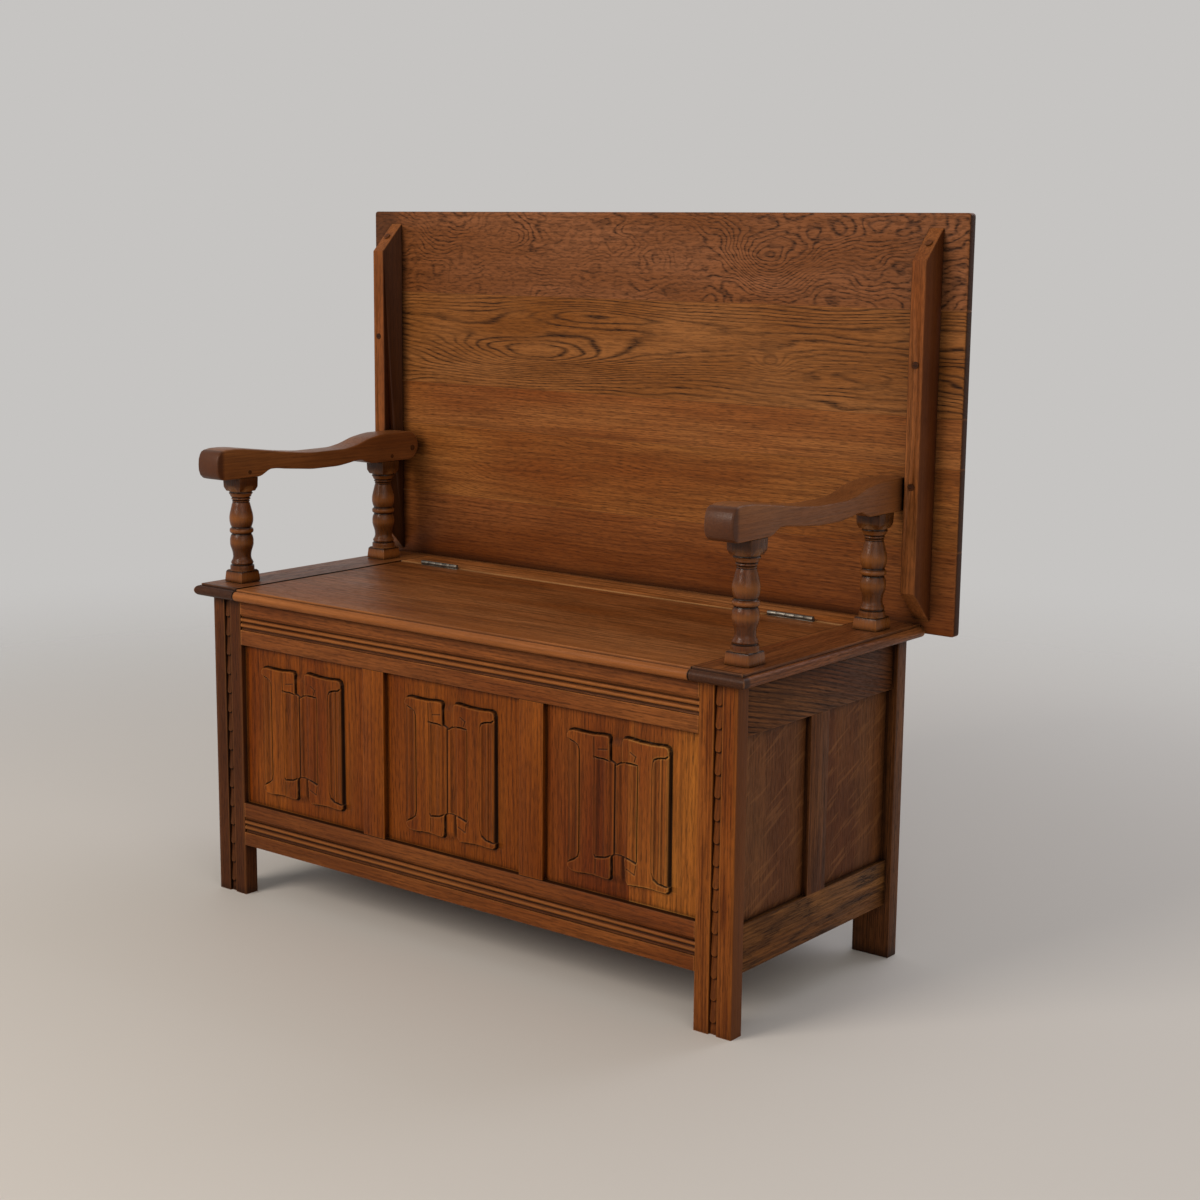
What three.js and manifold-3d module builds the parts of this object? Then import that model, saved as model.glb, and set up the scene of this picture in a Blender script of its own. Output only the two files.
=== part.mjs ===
// Joined oak settle bench: a framed chest with linenfold front panels and a hinged seat lid, two arms on
// turned spindles, and a back that is a table top. The back hangs on two pivot pins at the rear ends of
// the arms and tips forward to lie on them as a table.
// Millimetres. X runs along the bench, Y from the front stiles to the back, Z up from the floor.
import * as THREE from "three";
import { mergeVertices } from "three/addons/utils/BufferGeometryUtils.js";
import Module from "manifold-3d";

const wasm = await Module();
wasm.setup();

const jointGap = 0.3; // clearance left at every seated joint
const cutOverrun = 2; // how far a cutter runs past the wood it opens

// Chest frame
const chestWidth = 930;
const chestDepth = 397;
const chestHeight = 444.7;
const stileWidth = 57;
const stileThickness = 22;
const footHeight = 76;
const footEase = 3;
const frontBottomRailHeight = 65;
const frontTopRailHeight = 66.7;
const railThickness = 20;
const railSetback = 0.8;
const muntinWidth = 40;
const sideInset = 8;
const sideBottomRailHeight = 62;
const sideTopRailHeight = 69;
const sideMuntinWidth = 42;

// Panels, and the joints that hold the frame together
const panelThickness = 7;
const frontPanelRecess = 9; // front panel ground behind the stile face
const sidePanelRecess = 8; // side panel face behind its rails
const grooveDepth = 8;
const panelPlay = 1; // room for a panel to move in its groove
const tenonLength = 26;
const stubTenonLength = 12;
const tenonShoulder = 9;

// Reeded moulding worked along the front rails
const mouldWidth = 24;
const mouldDepth = 3.5;
const reedWidth = 6.5;
const reedSpacing = 1.6;
const mouldSlope = 5.4;
const mouldRise = 20; // moulding above the lower edge of its rail

// Channel carved down each front stile, filled with overlapping scales
const channelWidth = 12.5;
const channelDepth = 3.5;
const scalePitch = 28.6;
const scaleLift = 2.4; // how far a scale's lower end stands off the channel floor
const scaleMargin = 1.6; // channel floor left showing beside a scale
const scaleRoot = 0.6; // how far a scale is rooted under the channel floor

// Linenfold carving of the front panels
const clothSideMargin = 38.2; // ground left beside the carving
const clothTopMargin = 26.8;
const clothBottomMargin = 18.9;
const clothRelief = 6.2; // I-shaped cloth above the panel ground
const foldRelief = 5.7; // highest fold above the panel ground
const clothEase = 1;
const hemCutWidth = 1.2; // cuts that mark the rolled ends of the hems
const hemCutDepth = 1;
const carvingRoot = 1; // how far the carving is rooted in the panel

// Chest floor, let into the side rails
const floorThickness = 9;
const floorRise = 12;
const floorLetIn = 4.5;

// Seat: two fixed side boards, a fixed rear strip and the lid between them
const seatThickness = 17.8;
const seatSideOverhang = 13; // flat top beyond the chest side
const seatFrontOverhang = 11; // flat top beyond the chest front
const seatRearOverhang = 9.8; // seat behind the rear stiles
const nosingReach = 8;
const nosingStep = 2.8;
const lidEndInset = 4; // end of the lid short of the stile's inner edge
const stripDepth = 75.8; // fixed strip behind the lid
const lidPlay = 0.6;

// Butt hinges of the lid
const hingeLength = 73;
const hingeEndInset = 82; // hinge centre from the end of the lid
const hingeLeafHeight = 15;
const hingeLeafThickness = 1.5;
const knuckleRadius = 3.2;
const knuckleRise = 2.6; // knuckle centre above the seat
const knuckleCount = 5;
const knucklePlay = 0.4;
const hingePinRadius = 1.5;

// Spindles, turned between square blocks
const spindleInset = 19; // spindle centre inside the end of the chest
const frontSpindleY = 40;
const rearSpindleInset = 62; // spindle centre ahead of the back of the chest
const spindleHeight = 153.6;
const spindleBlock = 36;
const spindleBaseHeight = 20.5;
const spindleTopHeight = 14;
const blockChamfer = 2;
const spindleTenonRadius = 8;
const seatTenonLength = 12;
const armTenonLength = 16;

// Arms
const armWidth = 41.5;
const armHeight = 44;
const noseReach = 62; // arm ahead of the front spindle centre
const armTail = 14; // wood behind the pivot
const tailRadius = 12.5;
const noseTopReach = 15;
const noseLowReach = 20;
const noseRise = 21; // foremost point of the nose above the underside
const armEase = 2.5;
const armUnderLead = 3; // flat underside in front of and behind a spindle block
const rearBlockLead = 24; // rear block ahead of the rear spindle block
const pegRadius = 3.2;
const pegRise = 8;
const pegLength = 27;
const pegProud = 0.4;

// Table top that serves as the back
const tableOverhang = 36.75; // table end beyond the bearer
const tableThickness = 16;
const seatLap = 13; // lower edge of the table below the seat top, behind its rear edge
const tableEase = 3;
const tableCorner = 5;
const plankWidths = [113.2, 109, 65.4, 139.6, 124.4];
const plankJoint = 0.3;

// Bearers under the table top, and the pins on which it turns
const bearerThickness = 22;
const bearerDepth = 42.4;
const bearerSeatGap = 4.2; // bearer end above the seat
const bearerTopInset = 19.4; // bearer end below the upper edge of the table
const bevelLength = 42;
const bearerEase = 1.2;
const bearerPlay = 3; // running gap between arm and bearer
const pivotDrop = 25.9; // pivot below the top of the arm
const restGap = 0.4; // table face above the arms when it lies on them
const pivotPinRadius = 4.5;
const pivotPinProud = 0.6;
const pivotLetIn = 15;
const plugRadius = 4.6;
const plugDepth = 5;
const plugProud = 0.5;
const plugHeightShares = [0.355, 0.662]; // of the bearer's length

const seatBottom = chestHeight + jointGap;
const seatTop = seatBottom + seatThickness;
const frontPanelTop = chestHeight - frontTopRailHeight;
const frontPanelBottom = footHeight + frontBottomRailHeight;
const sidePanelTop = chestHeight - sideTopRailHeight;
const sidePanelBottom = footHeight + sideBottomRailHeight;
const stileInnerX = chestWidth / 2 - stileWidth;
const lidHalfLength = stileInnerX - lidEndInset;
const seatRearY = chestDepth + seatRearOverhang;
const lidRearY = seatRearY - stripDepth;
const hingeCentreX = lidHalfLength - hingeEndInset;
const spindleX = chestWidth / 2 - spindleInset;
const rearSpindleY = chestDepth - rearSpindleInset;
const armFrontY = frontSpindleY - noseReach;
const sideFaceX = chestWidth / 2 - sideInset;
const sideInnerX = sideFaceX - railThickness;
const armBottom = seatTop + 2 * jointGap + spindleHeight;
const armTop = armBottom + armHeight;
const armInnerX = spindleX - armWidth / 2;
const armOuterX = spindleX + armWidth / 2;
const bearerInnerX = armOuterX + bearerPlay;
const bearerOuterX = bearerInnerX + bearerThickness;
const tableFaceY = seatRearY + jointGap;
const pivotZ = armTop - pivotDrop;
const pivotY = tableFaceY - pivotDrop - restGap;
const armRearY = pivotY + armTail;
const tableHeight = plankWidths.reduce((sum, width) => sum + width);
const tableBottom = seatTop - seatLap;
const tableWidth = 2 * (bearerOuterX + tableOverhang);
const knuckleZ = seatTop + knuckleRise;

const roundSides = 20;
const turnedSides = 16;
const scaleSteps = 4;
const armSteps = 16;
const quarterSteps = 4;
const smallSides = 12;
const oak = new THREE.MeshStandardMaterial({ color: 0x6e4022, roughness: 0.45, metalness: 0 });
const warmOak = new THREE.MeshStandardMaterial({ color: 0x7d4a25, roughness: 0.42, metalness: 0 });
const darkOak = new THREE.MeshStandardMaterial({ color: 0x4a2a18, roughness: 0.4, metalness: 0 });
const steel = new THREE.MeshStandardMaterial({ color: 0x6f6a64, roughness: 0.4, metalness: 0.9 });

// A three.js geometry as a solid that can be joined and cut.
function toSolid(geometry) {
  const bare = geometry.index ? geometry.toNonIndexed() : geometry.clone();
  bare.deleteAttribute("normal");
  bare.deleteAttribute("uv");
  const merged = mergeVertices(bare);
  const vertProperties = merged.attributes.position.array;
  const triVerts = new Uint32Array(merged.index.array);
  return new wasm.Manifold(new wasm.Mesh({ numProp: 3, vertProperties, triVerts }));
}

function toMesh(name, solid, material) {
  const { vertProperties, triVerts } = solid.getMesh();
  const geometry = new THREE.BufferGeometry();
  geometry.setAttribute("position", new THREE.BufferAttribute(vertProperties, 3));
  geometry.setIndex(new THREE.BufferAttribute(triVerts, 1));
  geometry.computeVertexNormals();
  const mesh = new THREE.Mesh(geometry, material.clone());
  mesh.name = name;
  return mesh;
}

function joined(solids) {
  return solids.reduce((whole, solid) => whole.add(solid));
}

function without(solid, cutters) {
  return cutters.reduce((rest, cutter) => rest.subtract(cutter), solid);
}

// A squared board between two values on each axis, given in either order.
function board([xa, xb], [ya, yb], [za, zb]) {
  const geometry = new THREE.BoxGeometry(Math.abs(xb - xa), Math.abs(yb - ya), Math.abs(zb - za));
  geometry.translate((xa + xb) / 2, (ya + yb) / 2, (za + zb) / 2);
  return toSolid(geometry);
}

function outlineOf(points) {
  return new THREE.Shape(points.map(([u, v]) => new THREE.Vector2(u, v)));
}

// The outline, in Y and Z, drawn out along X.
function alongX(shape, [xa, xb], options = {}) {
  const ease = options.bevelSize ?? 0;
  const geometry = new THREE.ExtrudeGeometry(shape, extrusion(Math.abs(xb - xa), ease, options));
  geometry.translate(0, 0, ease);
  geometry.rotateX(Math.PI / 2).rotateZ(Math.PI / 2);
  geometry.translate(Math.min(xa, xb), 0, 0);
  return toSolid(geometry);
}

// The outline, in X and Z, drawn out along Y.
function alongY(shape, [ya, yb], options = {}) {
  const ease = options.bevelSize ?? 0;
  const geometry = new THREE.ExtrudeGeometry(shape, extrusion(Math.abs(yb - ya), ease, options));
  geometry.translate(0, 0, ease);
  geometry.rotateX(Math.PI / 2);
  geometry.translate(0, Math.max(ya, yb), 0);
  return toSolid(geometry);
}

// Extrusion settings whose eased arrises stay inside the outline and the depth.
function extrusion(depth, ease, options) {
  return {
    depth: depth - 2 * ease,
    bevelEnabled: ease > 0,
    bevelThickness: ease,
    bevelSize: ease,
    bevelOffset: -ease,
    bevelSegments: options.bevelSegments ?? 1,
    curveSegments: options.curveSegments ?? 4,
  };
}

// A round bar along X, between two values of X.
function barX(radius, [xa, xb], y, z, sides = roundSides) {
  const geometry = new THREE.CylinderGeometry(radius, radius, Math.abs(xb - xa), sides);
  geometry.rotateZ(Math.PI / 2);
  geometry.translate((xa + xb) / 2, y, z);
  return toSolid(geometry);
}

function barY(radius, x, [ya, yb], z, sides = roundSides) {
  const geometry = new THREE.CylinderGeometry(radius, radius, Math.abs(yb - ya), sides);
  geometry.translate(0, (ya + yb) / 2, 0);
  geometry.translate(x, 0, z);
  return toSolid(geometry);
}

function barZ(radius, x, y, [za, zb], sides = roundSides) {
  const geometry = new THREE.CylinderGeometry(radius, radius, Math.abs(zb - za), sides);
  geometry.rotateX(Math.PI / 2);
  geometry.translate(x, y, (za + zb) / 2);
  return toSolid(geometry);
}

// A depth measured inwards from the front face of the chest, or from its rear face.
function fromFace(rear, depth) {
  return rear ? chestDepth - depth : depth;
}

function spanFromFace(rear, near, far) {
  return [fromFace(rear, near), fromFace(rear, far)];
}

function grown([low, high], play) {
  return [Math.min(low, high) - play, Math.max(low, high) + play];
}

const panelSpanY = (rear) => spanFromFace(rear, frontPanelRecess, frontPanelRecess + panelThickness);
const sidePanelX = (side) => [
  side * (sideFaceX - sidePanelRecess),
  side * (sideFaceX - sidePanelRecess - panelThickness),
];
const bottomTenonZ = [footHeight + tenonShoulder, frontPanelBottom - grooveDepth];
const topTenonZ = [frontPanelTop + grooveDepth, chestHeight - tenonShoulder];
const sideBottomTenonZ = [footHeight + tenonShoulder, sidePanelBottom - grooveDepth];
const sideTopTenonZ = [sidePanelTop + grooveDepth, chestHeight - tenonShoulder];

// Stile: grooved for the panels, mortised for the rails, and carved down the front where it shows.
function stile(name, side, rear) {
  const outerX = (side * chestWidth) / 2;
  const innerX = side * stileInnerX;
  const body = board([outerX, innerX], spanFromFace(rear, 0, stileThickness), [0, chestHeight]);
  const openingZ = grown([frontPanelBottom, frontPanelTop], grooveDepth);
  const sideOpeningZ = grown([sidePanelBottom, sidePanelTop], grooveDepth);
  const grooveY = grown(panelSpanY(rear), jointGap);
  const sideGrooveX = grown(sidePanelX(side), jointGap);
  const insideY = stileThickness + cutOverrun;
  const cutters = [
    board([innerX - side * cutOverrun, innerX + side * grooveDepth], grooveY, openingZ),
    board(sideGrooveX, spanFromFace(rear, stileThickness - grooveDepth, insideY), sideOpeningZ),
  ];
  for (const tenonZ of [bottomTenonZ, topTenonZ]) {
    const mortiseX = [innerX - side * cutOverrun, innerX + side * (tenonLength + jointGap)];
    cutters.push(board(mortiseX, grooveY, grown(tenonZ, jointGap)));
  }
  for (const tenonZ of [sideBottomTenonZ, sideTopTenonZ]) {
    const mortiseY = spanFromFace(rear, stileThickness - stubTenonLength - jointGap, insideY);
    cutters.push(board(sideGrooveX, mortiseY, grown(tenonZ, jointGap)));
  }
  const plain = without(body, cutters);
  return toMesh(name, rear ? plain : carvedStile(plain, side), warmOak);
}

// The channel down the front of a stile, with a row of scales that overlap downwards.
function carvedStile(plain, side) {
  const centreX = side * (chestWidth / 2 - stileWidth / 2);
  const channelX = [centreX - channelWidth / 2, centreX + channelWidth / 2];
  const channel = board(channelX, [-cutOverrun, channelDepth], [-cutOverrun, chestHeight + cutOverrun]);
  const count = Math.floor(chestHeight / scalePitch);
  const lowest = chestHeight - count * scalePitch;
  const halfWidth = channelWidth / 2 - scaleMargin;
  const outlines = [];
  const steps = [[channelDepth + scaleRoot, lowest]];
  for (let i = 0; i < count; i++) {
    const tipZ = lowest + i * scalePitch;
    const shape = new THREE.Shape();
    shape.moveTo(centreX - halfWidth, tipZ + scalePitch);
    shape.lineTo(centreX - halfWidth, tipZ + halfWidth);
    shape.absarc(centreX, tipZ + halfWidth, halfWidth, Math.PI, 2 * Math.PI);
    shape.lineTo(centreX + halfWidth, tipZ + scalePitch);
    outlines.push(alongY(shape, [0, channelDepth + scaleRoot], { curveSegments: scaleSteps }));
    steps.push([channelDepth - scaleLift, tipZ], [channelDepth, tipZ + scalePitch]);
  }
  steps.push([channelDepth + scaleRoot, chestHeight]);
  const slopes = alongX(outlineOf(steps), channelX);
  const scales = joined(outlines.map((outline) => outline.intersect(slopes)));
  return plain.subtract(channel).add(scales);
}

// Section, in Y and Z, of a front rail with two reeds in a sunk band.
function reededSection(bottom, top) {
  const face = railSetback;
  const sunk = face + mouldDepth;
  const bandBottom = bottom + mouldRise;
  const bandTop = bandBottom + mouldWidth;
  const points = [
    [face + railThickness, top],
    [face + railThickness, bottom],
    [face, bottom],
    [face, bandBottom],
    [sunk, bandBottom + reedSpacing],
  ];
  const reedStart = bandTop - mouldSlope - 2 * reedWidth - reedSpacing;
  for (const reedBottom of [reedStart, reedStart + reedWidth + reedSpacing]) {
    const stepsPerReed = 8;
    for (let i = 0; i <= stepsPerReed; i++) {
      const turn = (Math.PI * i) / stepsPerReed;
      const height = reedBottom + (reedWidth * (1 - Math.cos(turn))) / 2;
      points.push([sunk - (mouldDepth - face / 2) * Math.sin(turn), height]);
    }
  }
  points.push([sunk, bandTop - mouldSlope], [face, bandTop], [face, top]);
  return outlineOf(points);
}

// Rail along the front or the back of the chest, tenoned into the stiles at both ends.
function longRail(name, rear, [bottom, top], grooveZ, tenonZ, material) {
  const length = [-stileInnerX + jointGap, stileInnerX - jointGap];
  const plainY = spanFromFace(rear, railSetback, railSetback + railThickness);
  const body = rear ? board(length, plainY, [bottom, top]) : alongX(reededSection(bottom, top), length);
  const tenon = board(grown(length, tenonLength), panelSpanY(rear), tenonZ);
  const groove = board(grown(length, cutOverrun), grown(panelSpanY(rear), jointGap), grooveZ);
  return toMesh(name, body.subtract(groove).add(tenon), material);
}

// Upright between two panels, grooved on both edges and stub-tenoned into the rails' grooves.
function frontMuntin(name, centreX) {
  const half = muntinWidth / 2;
  const span = [centreX - half, centreX + half];
  const opening = [frontPanelBottom + jointGap, frontPanelTop - jointGap];
  const body = board(span, spanFromFace(false, railSetback, railSetback + railThickness), opening);
  const tenon = board([span[0] + grooveDepth, span[1] - grooveDepth], panelSpanY(false), [
    opening[0] - grooveDepth + panelPlay,
    opening[1] + grooveDepth - panelPlay,
  ]);
  const grooves = [-1, 1].map((edge) =>
    board(
      [centreX + edge * (half - grooveDepth), centreX + edge * (half + cutOverrun)],
      grown(panelSpanY(false), jointGap),
      grown(opening, cutOverrun),
    ),
  );
  return toMesh(name, without(body, grooves).add(tenon), warmOak);
}

// Left cloth of the linenfold as shares of the carving's width and height, from its lower left tip.
const leftClothShares = [
  [0, 0.037], [0.047, 0.009], [0.213, 0.003], [0.314, 0.001], [0.402, 0.005], [0.45, 0.042],
  [0.456, 0.157], [0.355, 0.157], [0.308, 0.152], [0.287, 0.173], [0.284, 0.209], [0.284, 0.785],
  [0.287, 0.822], [0.308, 0.838], [0.391, 0.819], [0.45, 0.827], [0.436, 0.958], [0.402, 0.987],
  [0.343, 0.995], [0.219, 0.984], [0.071, 0.992], [0, 0.992], [0, 0.916], [0.036, 0.914],
  [0.083, 0.903], [0.118, 0.885], [0.136, 0.859], [0.14, 0.827], [0.14, 0.157], [0.133, 0.126],
  [0.112, 0.102], [0.083, 0.084], [0.047, 0.076], [0, 0.073],
];
// Right cloth, on the same terms.
const rightClothShares = [
  [0.55, 0.031], [0.585, 0.003], [0.71, 0.018], [0.846, 0.007], [0.947, 0.01], [0.982, 0.037],
  [0.988, 0.063], [0.947, 0.073], [0.888, 0.073], [0.846, 0.084], [0.825, 0.105], [0.82, 0.147],
  [0.82, 0.838], [0.828, 0.869], [0.858, 0.89], [0.899, 0.903], [0.947, 0.908], [0.988, 0.921],
  [1, 0.953], [0.97, 0.99], [0.911, 1], [0.763, 0.984], [0.68, 0.99], [0.586, 0.99], [0.562, 0.963],
  [0.562, 0.817], [0.615, 0.814], [0.683, 0.822], [0.683, 0.152], [0.609, 0.171], [0.55, 0.188],
];
// Outline of the folds behind the two cloths, with the notch above them and the peak below.
const foldOutlineShares = [
  [0, 0.052], [0.355, 0.063], [0.456, 0.105], [0.456, 0.168], [0.485, 0.204], [0.55, 0.183],
  [0.651, 0.063], [0.947, 0.016], [0.988, 0.031], [1, 0.058], [1, 0.953], [0.947, 0.974],
  [0.651, 0.942], [0.562, 0.812], [0.55, 0.812], [0.485, 0.788], [0.45, 0.827], [0.355, 0.942],
  [0, 0.953],
];
// Section of the folds: share of the carving's width, share of the highest fold.
const foldSectionShares = [
  [0, 0.03], [0.018, 0.48], [0.036, 0.57], [0.056, 0.43], [0.071, 0.62], [0.112, 0.74], [0.133, 0.69],
  [0.142, 0.3], [0.284, 0.3], [0.29, 0.45], [0.308, 0.71], [0.325, 0.72], [0.367, 0.57], [0.414, 0.64],
  [0.456, 0.78], [0.479, 0.86], [0.5, 0.33], [0.527, 0.76], [0.55, 0.81], [0.615, 0.81], [0.663, 0.74],
  [0.68, 0.4], [0.683, 0.3], [0.819, 0.3], [0.824, 0.86], [0.84, 0.78], [0.87, 0.55], [0.888, 0.59],
  [0.917, 0.9], [0.941, 1], [0.964, 0.95], [0.982, 0.79], [0.994, 0.5], [1, 0.2],
];

// Cuts at the rolled ends of the hems, as shares: from and to across, then from and to upwards.
const hemCutShares = [
  [0.311, 0.311, 0.853, 0.974], [0.311, 0.432, 0.914, 0.914], [0.669, 0.669, 0.838, 0.974],
  [0.574, 0.669, 0.898, 0.898], [0.32, 0.32, 0.026, 0.141], [0.32, 0.444, 0.141, 0.141],
  [0.586, 0.663, 0.08, 0.08], [0.667, 0.667, 0.08, 0.147],
];

// Two cloths with rolled hems over a row of folds, standing on the panel ground.
function linenfold([panelLeft, panelRight]) {
  const left = panelLeft + clothSideMargin;
  const clothWidth = panelRight - clothSideMargin - left;
  const bottom = frontPanelBottom + clothBottomMargin;
  const clothHeight = frontPanelTop - clothTopMargin - bottom;
  const placed = ([u, v]) => [left + u * clothWidth, bottom + v * clothHeight];
  const rootY = frontPanelRecess + carvingRoot;
  const clothSpan = [frontPanelRecess - clothRelief, rootY];
  const eased = { bevelSize: clothEase };
  const cloths = [leftClothShares, rightClothShares].map((shares) =>
    alongY(outlineOf(shares.map(placed)), clothSpan, eased),
  );
  const section = foldSectionShares.map(([u, height]) => [
    left + u * clothWidth,
    frontPanelRecess - height * foldRelief,
  ]);
  section.push([left + clothWidth, rootY], [left, rootY]);
  const folds = alongZ(outlineOf(section), [bottom, bottom + clothHeight]);
  const outline = alongY(outlineOf(foldOutlineShares.map(placed)), grown(clothSpan, cutOverrun));
  const faceY = frontPanelRecess - clothRelief;
  const hemCuts = hemCutShares.map(([fromU, toU, fromV, toV]) => {
    const [xa, za] = placed([fromU, fromV]);
    const [xb, zb] = placed([toU, toV]);
    const half = hemCutWidth / 2;
    return board(grown([xa, xb], half), [faceY - cutOverrun, faceY + hemCutDepth], grown([za, zb], half));
  });
  return without(joined([...cloths, folds.intersect(outline)]), hemCuts);
}

// The outline, in X and Y, drawn out along Z.
function alongZ(shape, [za, zb]) {
  const geometry = new THREE.ExtrudeGeometry(shape, extrusion(Math.abs(zb - za), 0, {}));
  geometry.translate(0, 0, Math.min(za, zb));
  return toSolid(geometry);
}

const letIn = grooveDepth - panelPlay;

function linenfoldPanel(name, [left, right]) {
  const ground = board(
    [left - letIn, right + letIn],
    panelSpanY(false),
    [frontPanelBottom - letIn, frontPanelTop + letIn],
  );
  return toMesh(name, ground.add(linenfold([left, right])), warmOak);
}

function rearPanel(name) {
  const spanX = grown([-stileInnerX, stileInnerX], letIn);
  const spanZ = grown([frontPanelBottom, frontPanelTop], letIn);
  return toMesh(name, board(spanX, panelSpanY(true), spanZ), oak);
}

const sideOpeningY = [stileThickness, chestDepth - stileThickness];

// Rail along a side of the chest, stub-tenoned into the stiles.
function sideRail(name, side, [bottom, top], grooveZ, tenonZ, extraCutters) {
  const length = [sideOpeningY[0] + jointGap, sideOpeningY[1] - jointGap];
  const body = board([side * sideFaceX, side * sideInnerX], length, [bottom, top]);
  const groove = board(grown(sidePanelX(side), jointGap), grown(length, cutOverrun), grooveZ);
  const tenonY = grown(length, stubTenonLength - jointGap);
  const tenon = board(sidePanelX(side), tenonY, tenonZ);
  return toMesh(name, without(body, [groove, ...extraCutters]).add(tenon), oak);
}

function sideMuntin(name, side) {
  const centreY = (sideOpeningY[0] + sideOpeningY[1]) / 2;
  const half = sideMuntinWidth / 2;
  const opening = [sidePanelBottom + jointGap, sidePanelTop - jointGap];
  const body = board([side * sideFaceX, side * sideInnerX], [centreY - half, centreY + half], opening);
  const tenonZ = [opening[0] - letIn, opening[1] + letIn];
  const tenonY = [centreY - half + grooveDepth, centreY + half - grooveDepth];
  const grooves = [-1, 1].map((edge) =>
    board(
      grown(sidePanelX(side), jointGap),
      [centreY + edge * (half - grooveDepth), centreY + edge * (half + cutOverrun)],
      grown(opening, cutOverrun),
    ),
  );
  return toMesh(name, without(body, grooves).add(board(sidePanelX(side), tenonY, tenonZ)), oak);
}

function sidePanel(name, side, rear) {
  const centreY = (sideOpeningY[0] + sideOpeningY[1]) / 2;
  const edge = rear ? 1 : -1;
  const muntinEdgeY = centreY + (edge * sideMuntinWidth) / 2;
  const stileEdgeY = sideOpeningY[rear ? 1 : 0];
  const spanY = grown([muntinEdgeY, stileEdgeY], letIn);
  const spanZ = grown([sidePanelBottom, sidePanelTop], letIn);
  return toMesh(name, board(sidePanelX(side), spanY, spanZ), oak);
}

const floorZ = [footHeight + floorRise, footHeight + floorRise + floorThickness];

function chestFloor() {
  const spanX = grown([-sideInnerX, sideInnerX], floorLetIn - jointGap);
  const insideY = railSetback + railThickness + jointGap;
  const clearOfStiles = [
    Math.max(insideY, stileThickness + jointGap),
    chestDepth - Math.max(insideY, stileThickness + jointGap),
  ];
  return toMesh("chest_floor", board(spanX, clearOfStiles, floorZ), oak);
}

// Edge of a seat board seen end on: flat top, a small step down, and a half-round nosing.
function nosingPoints(inner, flatEdge, direction) {
  const radius = (seatThickness - nosingStep) / 2;
  const centre = flatEdge + direction * (nosingReach - radius);
  const centreZ = seatBottom + radius;
  const points = [[inner, seatTop], [inner, seatBottom]];
  const arcSteps = 10;
  for (let i = 0; i <= arcSteps; i++) {
    const turn = (Math.PI * i) / arcSteps - Math.PI / 2;
    points.push([centre + direction * radius * Math.cos(turn), centreZ + radius * Math.sin(turn)]);
  }
  points.push([flatEdge, seatTop - nosingStep], [flatEdge, seatTop]);
  return points;
}

const seatFlatX = chestWidth / 2 + seatSideOverhang;

// Fixed end board of the seat: nosing along the front and the side, mitred where they meet.
function seatSideBoard(name, side) {
  const innerX = side * (lidHalfLength + jointGap);
  const acrossX = outlineOf(nosingPoints(innerX, side * seatFlatX, side));
  const frontEdge = -seatFrontOverhang - nosingReach;
  const alongDepth = alongY(acrossX, [frontEdge, seatRearY]);
  const acrossY = outlineOf(nosingPoints(seatRearY, -seatFrontOverhang, -1));
  const reachX = side * (seatFlatX + nosingReach);
  const alongWidth = alongX(acrossY, grown([innerX, reachX], cutOverrun));
  const sockets = [frontSpindleY, rearSpindleY].map((y) =>
    barZ(spindleTenonRadius + jointGap, side * spindleX, y, [
      seatTop - seatTenonLength - jointGap,
      seatTop + cutOverrun,
    ]),
  );
  return toMesh(name, without(alongDepth.intersect(alongWidth), sockets), darkOak);
}

// Fixed strip behind the lid, which carries the hinges.
function seatRearStrip() {
  const spanX = [-lidHalfLength + jointGap, lidHalfLength - jointGap];
  const front = lidRearY + lidPlay / 2;
  const body = board(spanX, [front, seatRearY], [seatBottom, seatTop]);
  return toMesh("seat_rear_strip", without(body, hingeSockets(front, 1)), oak);
}

function seatLid() {
  const spanX = [-lidHalfLength + lidPlay, lidHalfLength - lidPlay];
  const rear = lidRearY - lidPlay / 2;
  const body = alongX(outlineOf(nosingPoints(rear, -seatFrontOverhang, -1)), spanX);
  return toMesh("seat_lid", without(body, hingeSockets(rear, -1)), oak);
}

// Housings for the hinge leaves in an edge that faces the other board, and the trough for the knuckles.
function hingeSockets(edgeY, direction) {
  return [-1, 1].flatMap((side) => {
    const spanX = grown(hingeSpan(side), jointGap);
    const leafY = [edgeY - direction * cutOverrun, edgeY + direction * (hingeLeafThickness + jointGap)];
    return [
      board(spanX, leafY, [seatTop - hingeLeafHeight - jointGap, seatTop + cutOverrun]),
      barX(knuckleRadius + knucklePlay, spanX, lidRearY, knuckleZ),
    ];
  });
}

const hingeSpan = (side) => [
  side * hingeCentreX - hingeLength / 2,
  side * hingeCentreX + hingeLength / 2,
];

// Hinge leaf with its own knuckles; the fixed leaf has the odd ones, the moving leaf the even ones.
function hingeLeaf(name, side, moving) {
  const direction = moving ? -1 : 1;
  const faceY = lidRearY + (direction * lidPlay) / 2;
  const span = hingeSpan(side);
  const plate = board(span, [faceY, faceY + direction * hingeLeafThickness], [
    seatTop - hingeLeafHeight,
    knuckleZ,
  ]);
  const pitch = hingeLength / knuckleCount;
  const own = [];
  const others = [];
  for (let i = 0; i < knuckleCount; i++) {
    const stretch = [span[0] + i * pitch, span[0] + (i + 1) * pitch];
    const inner = [stretch[0] + knucklePlay / 2, stretch[1] - knucklePlay / 2];
    if ((i % 2 === 1) === moving) own.push(barX(knuckleRadius, inner, lidRearY, knuckleZ, smallSides));
    else others.push(knuckleRoom(stretch));
  }
  const bore = barX(hingePinRadius + jointGap, grown(span, cutOverrun), lidRearY, knuckleZ, smallSides);
  return toMesh(name, without(joined([without(plate, others), ...own]), [bore]), steel);
}

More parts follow.
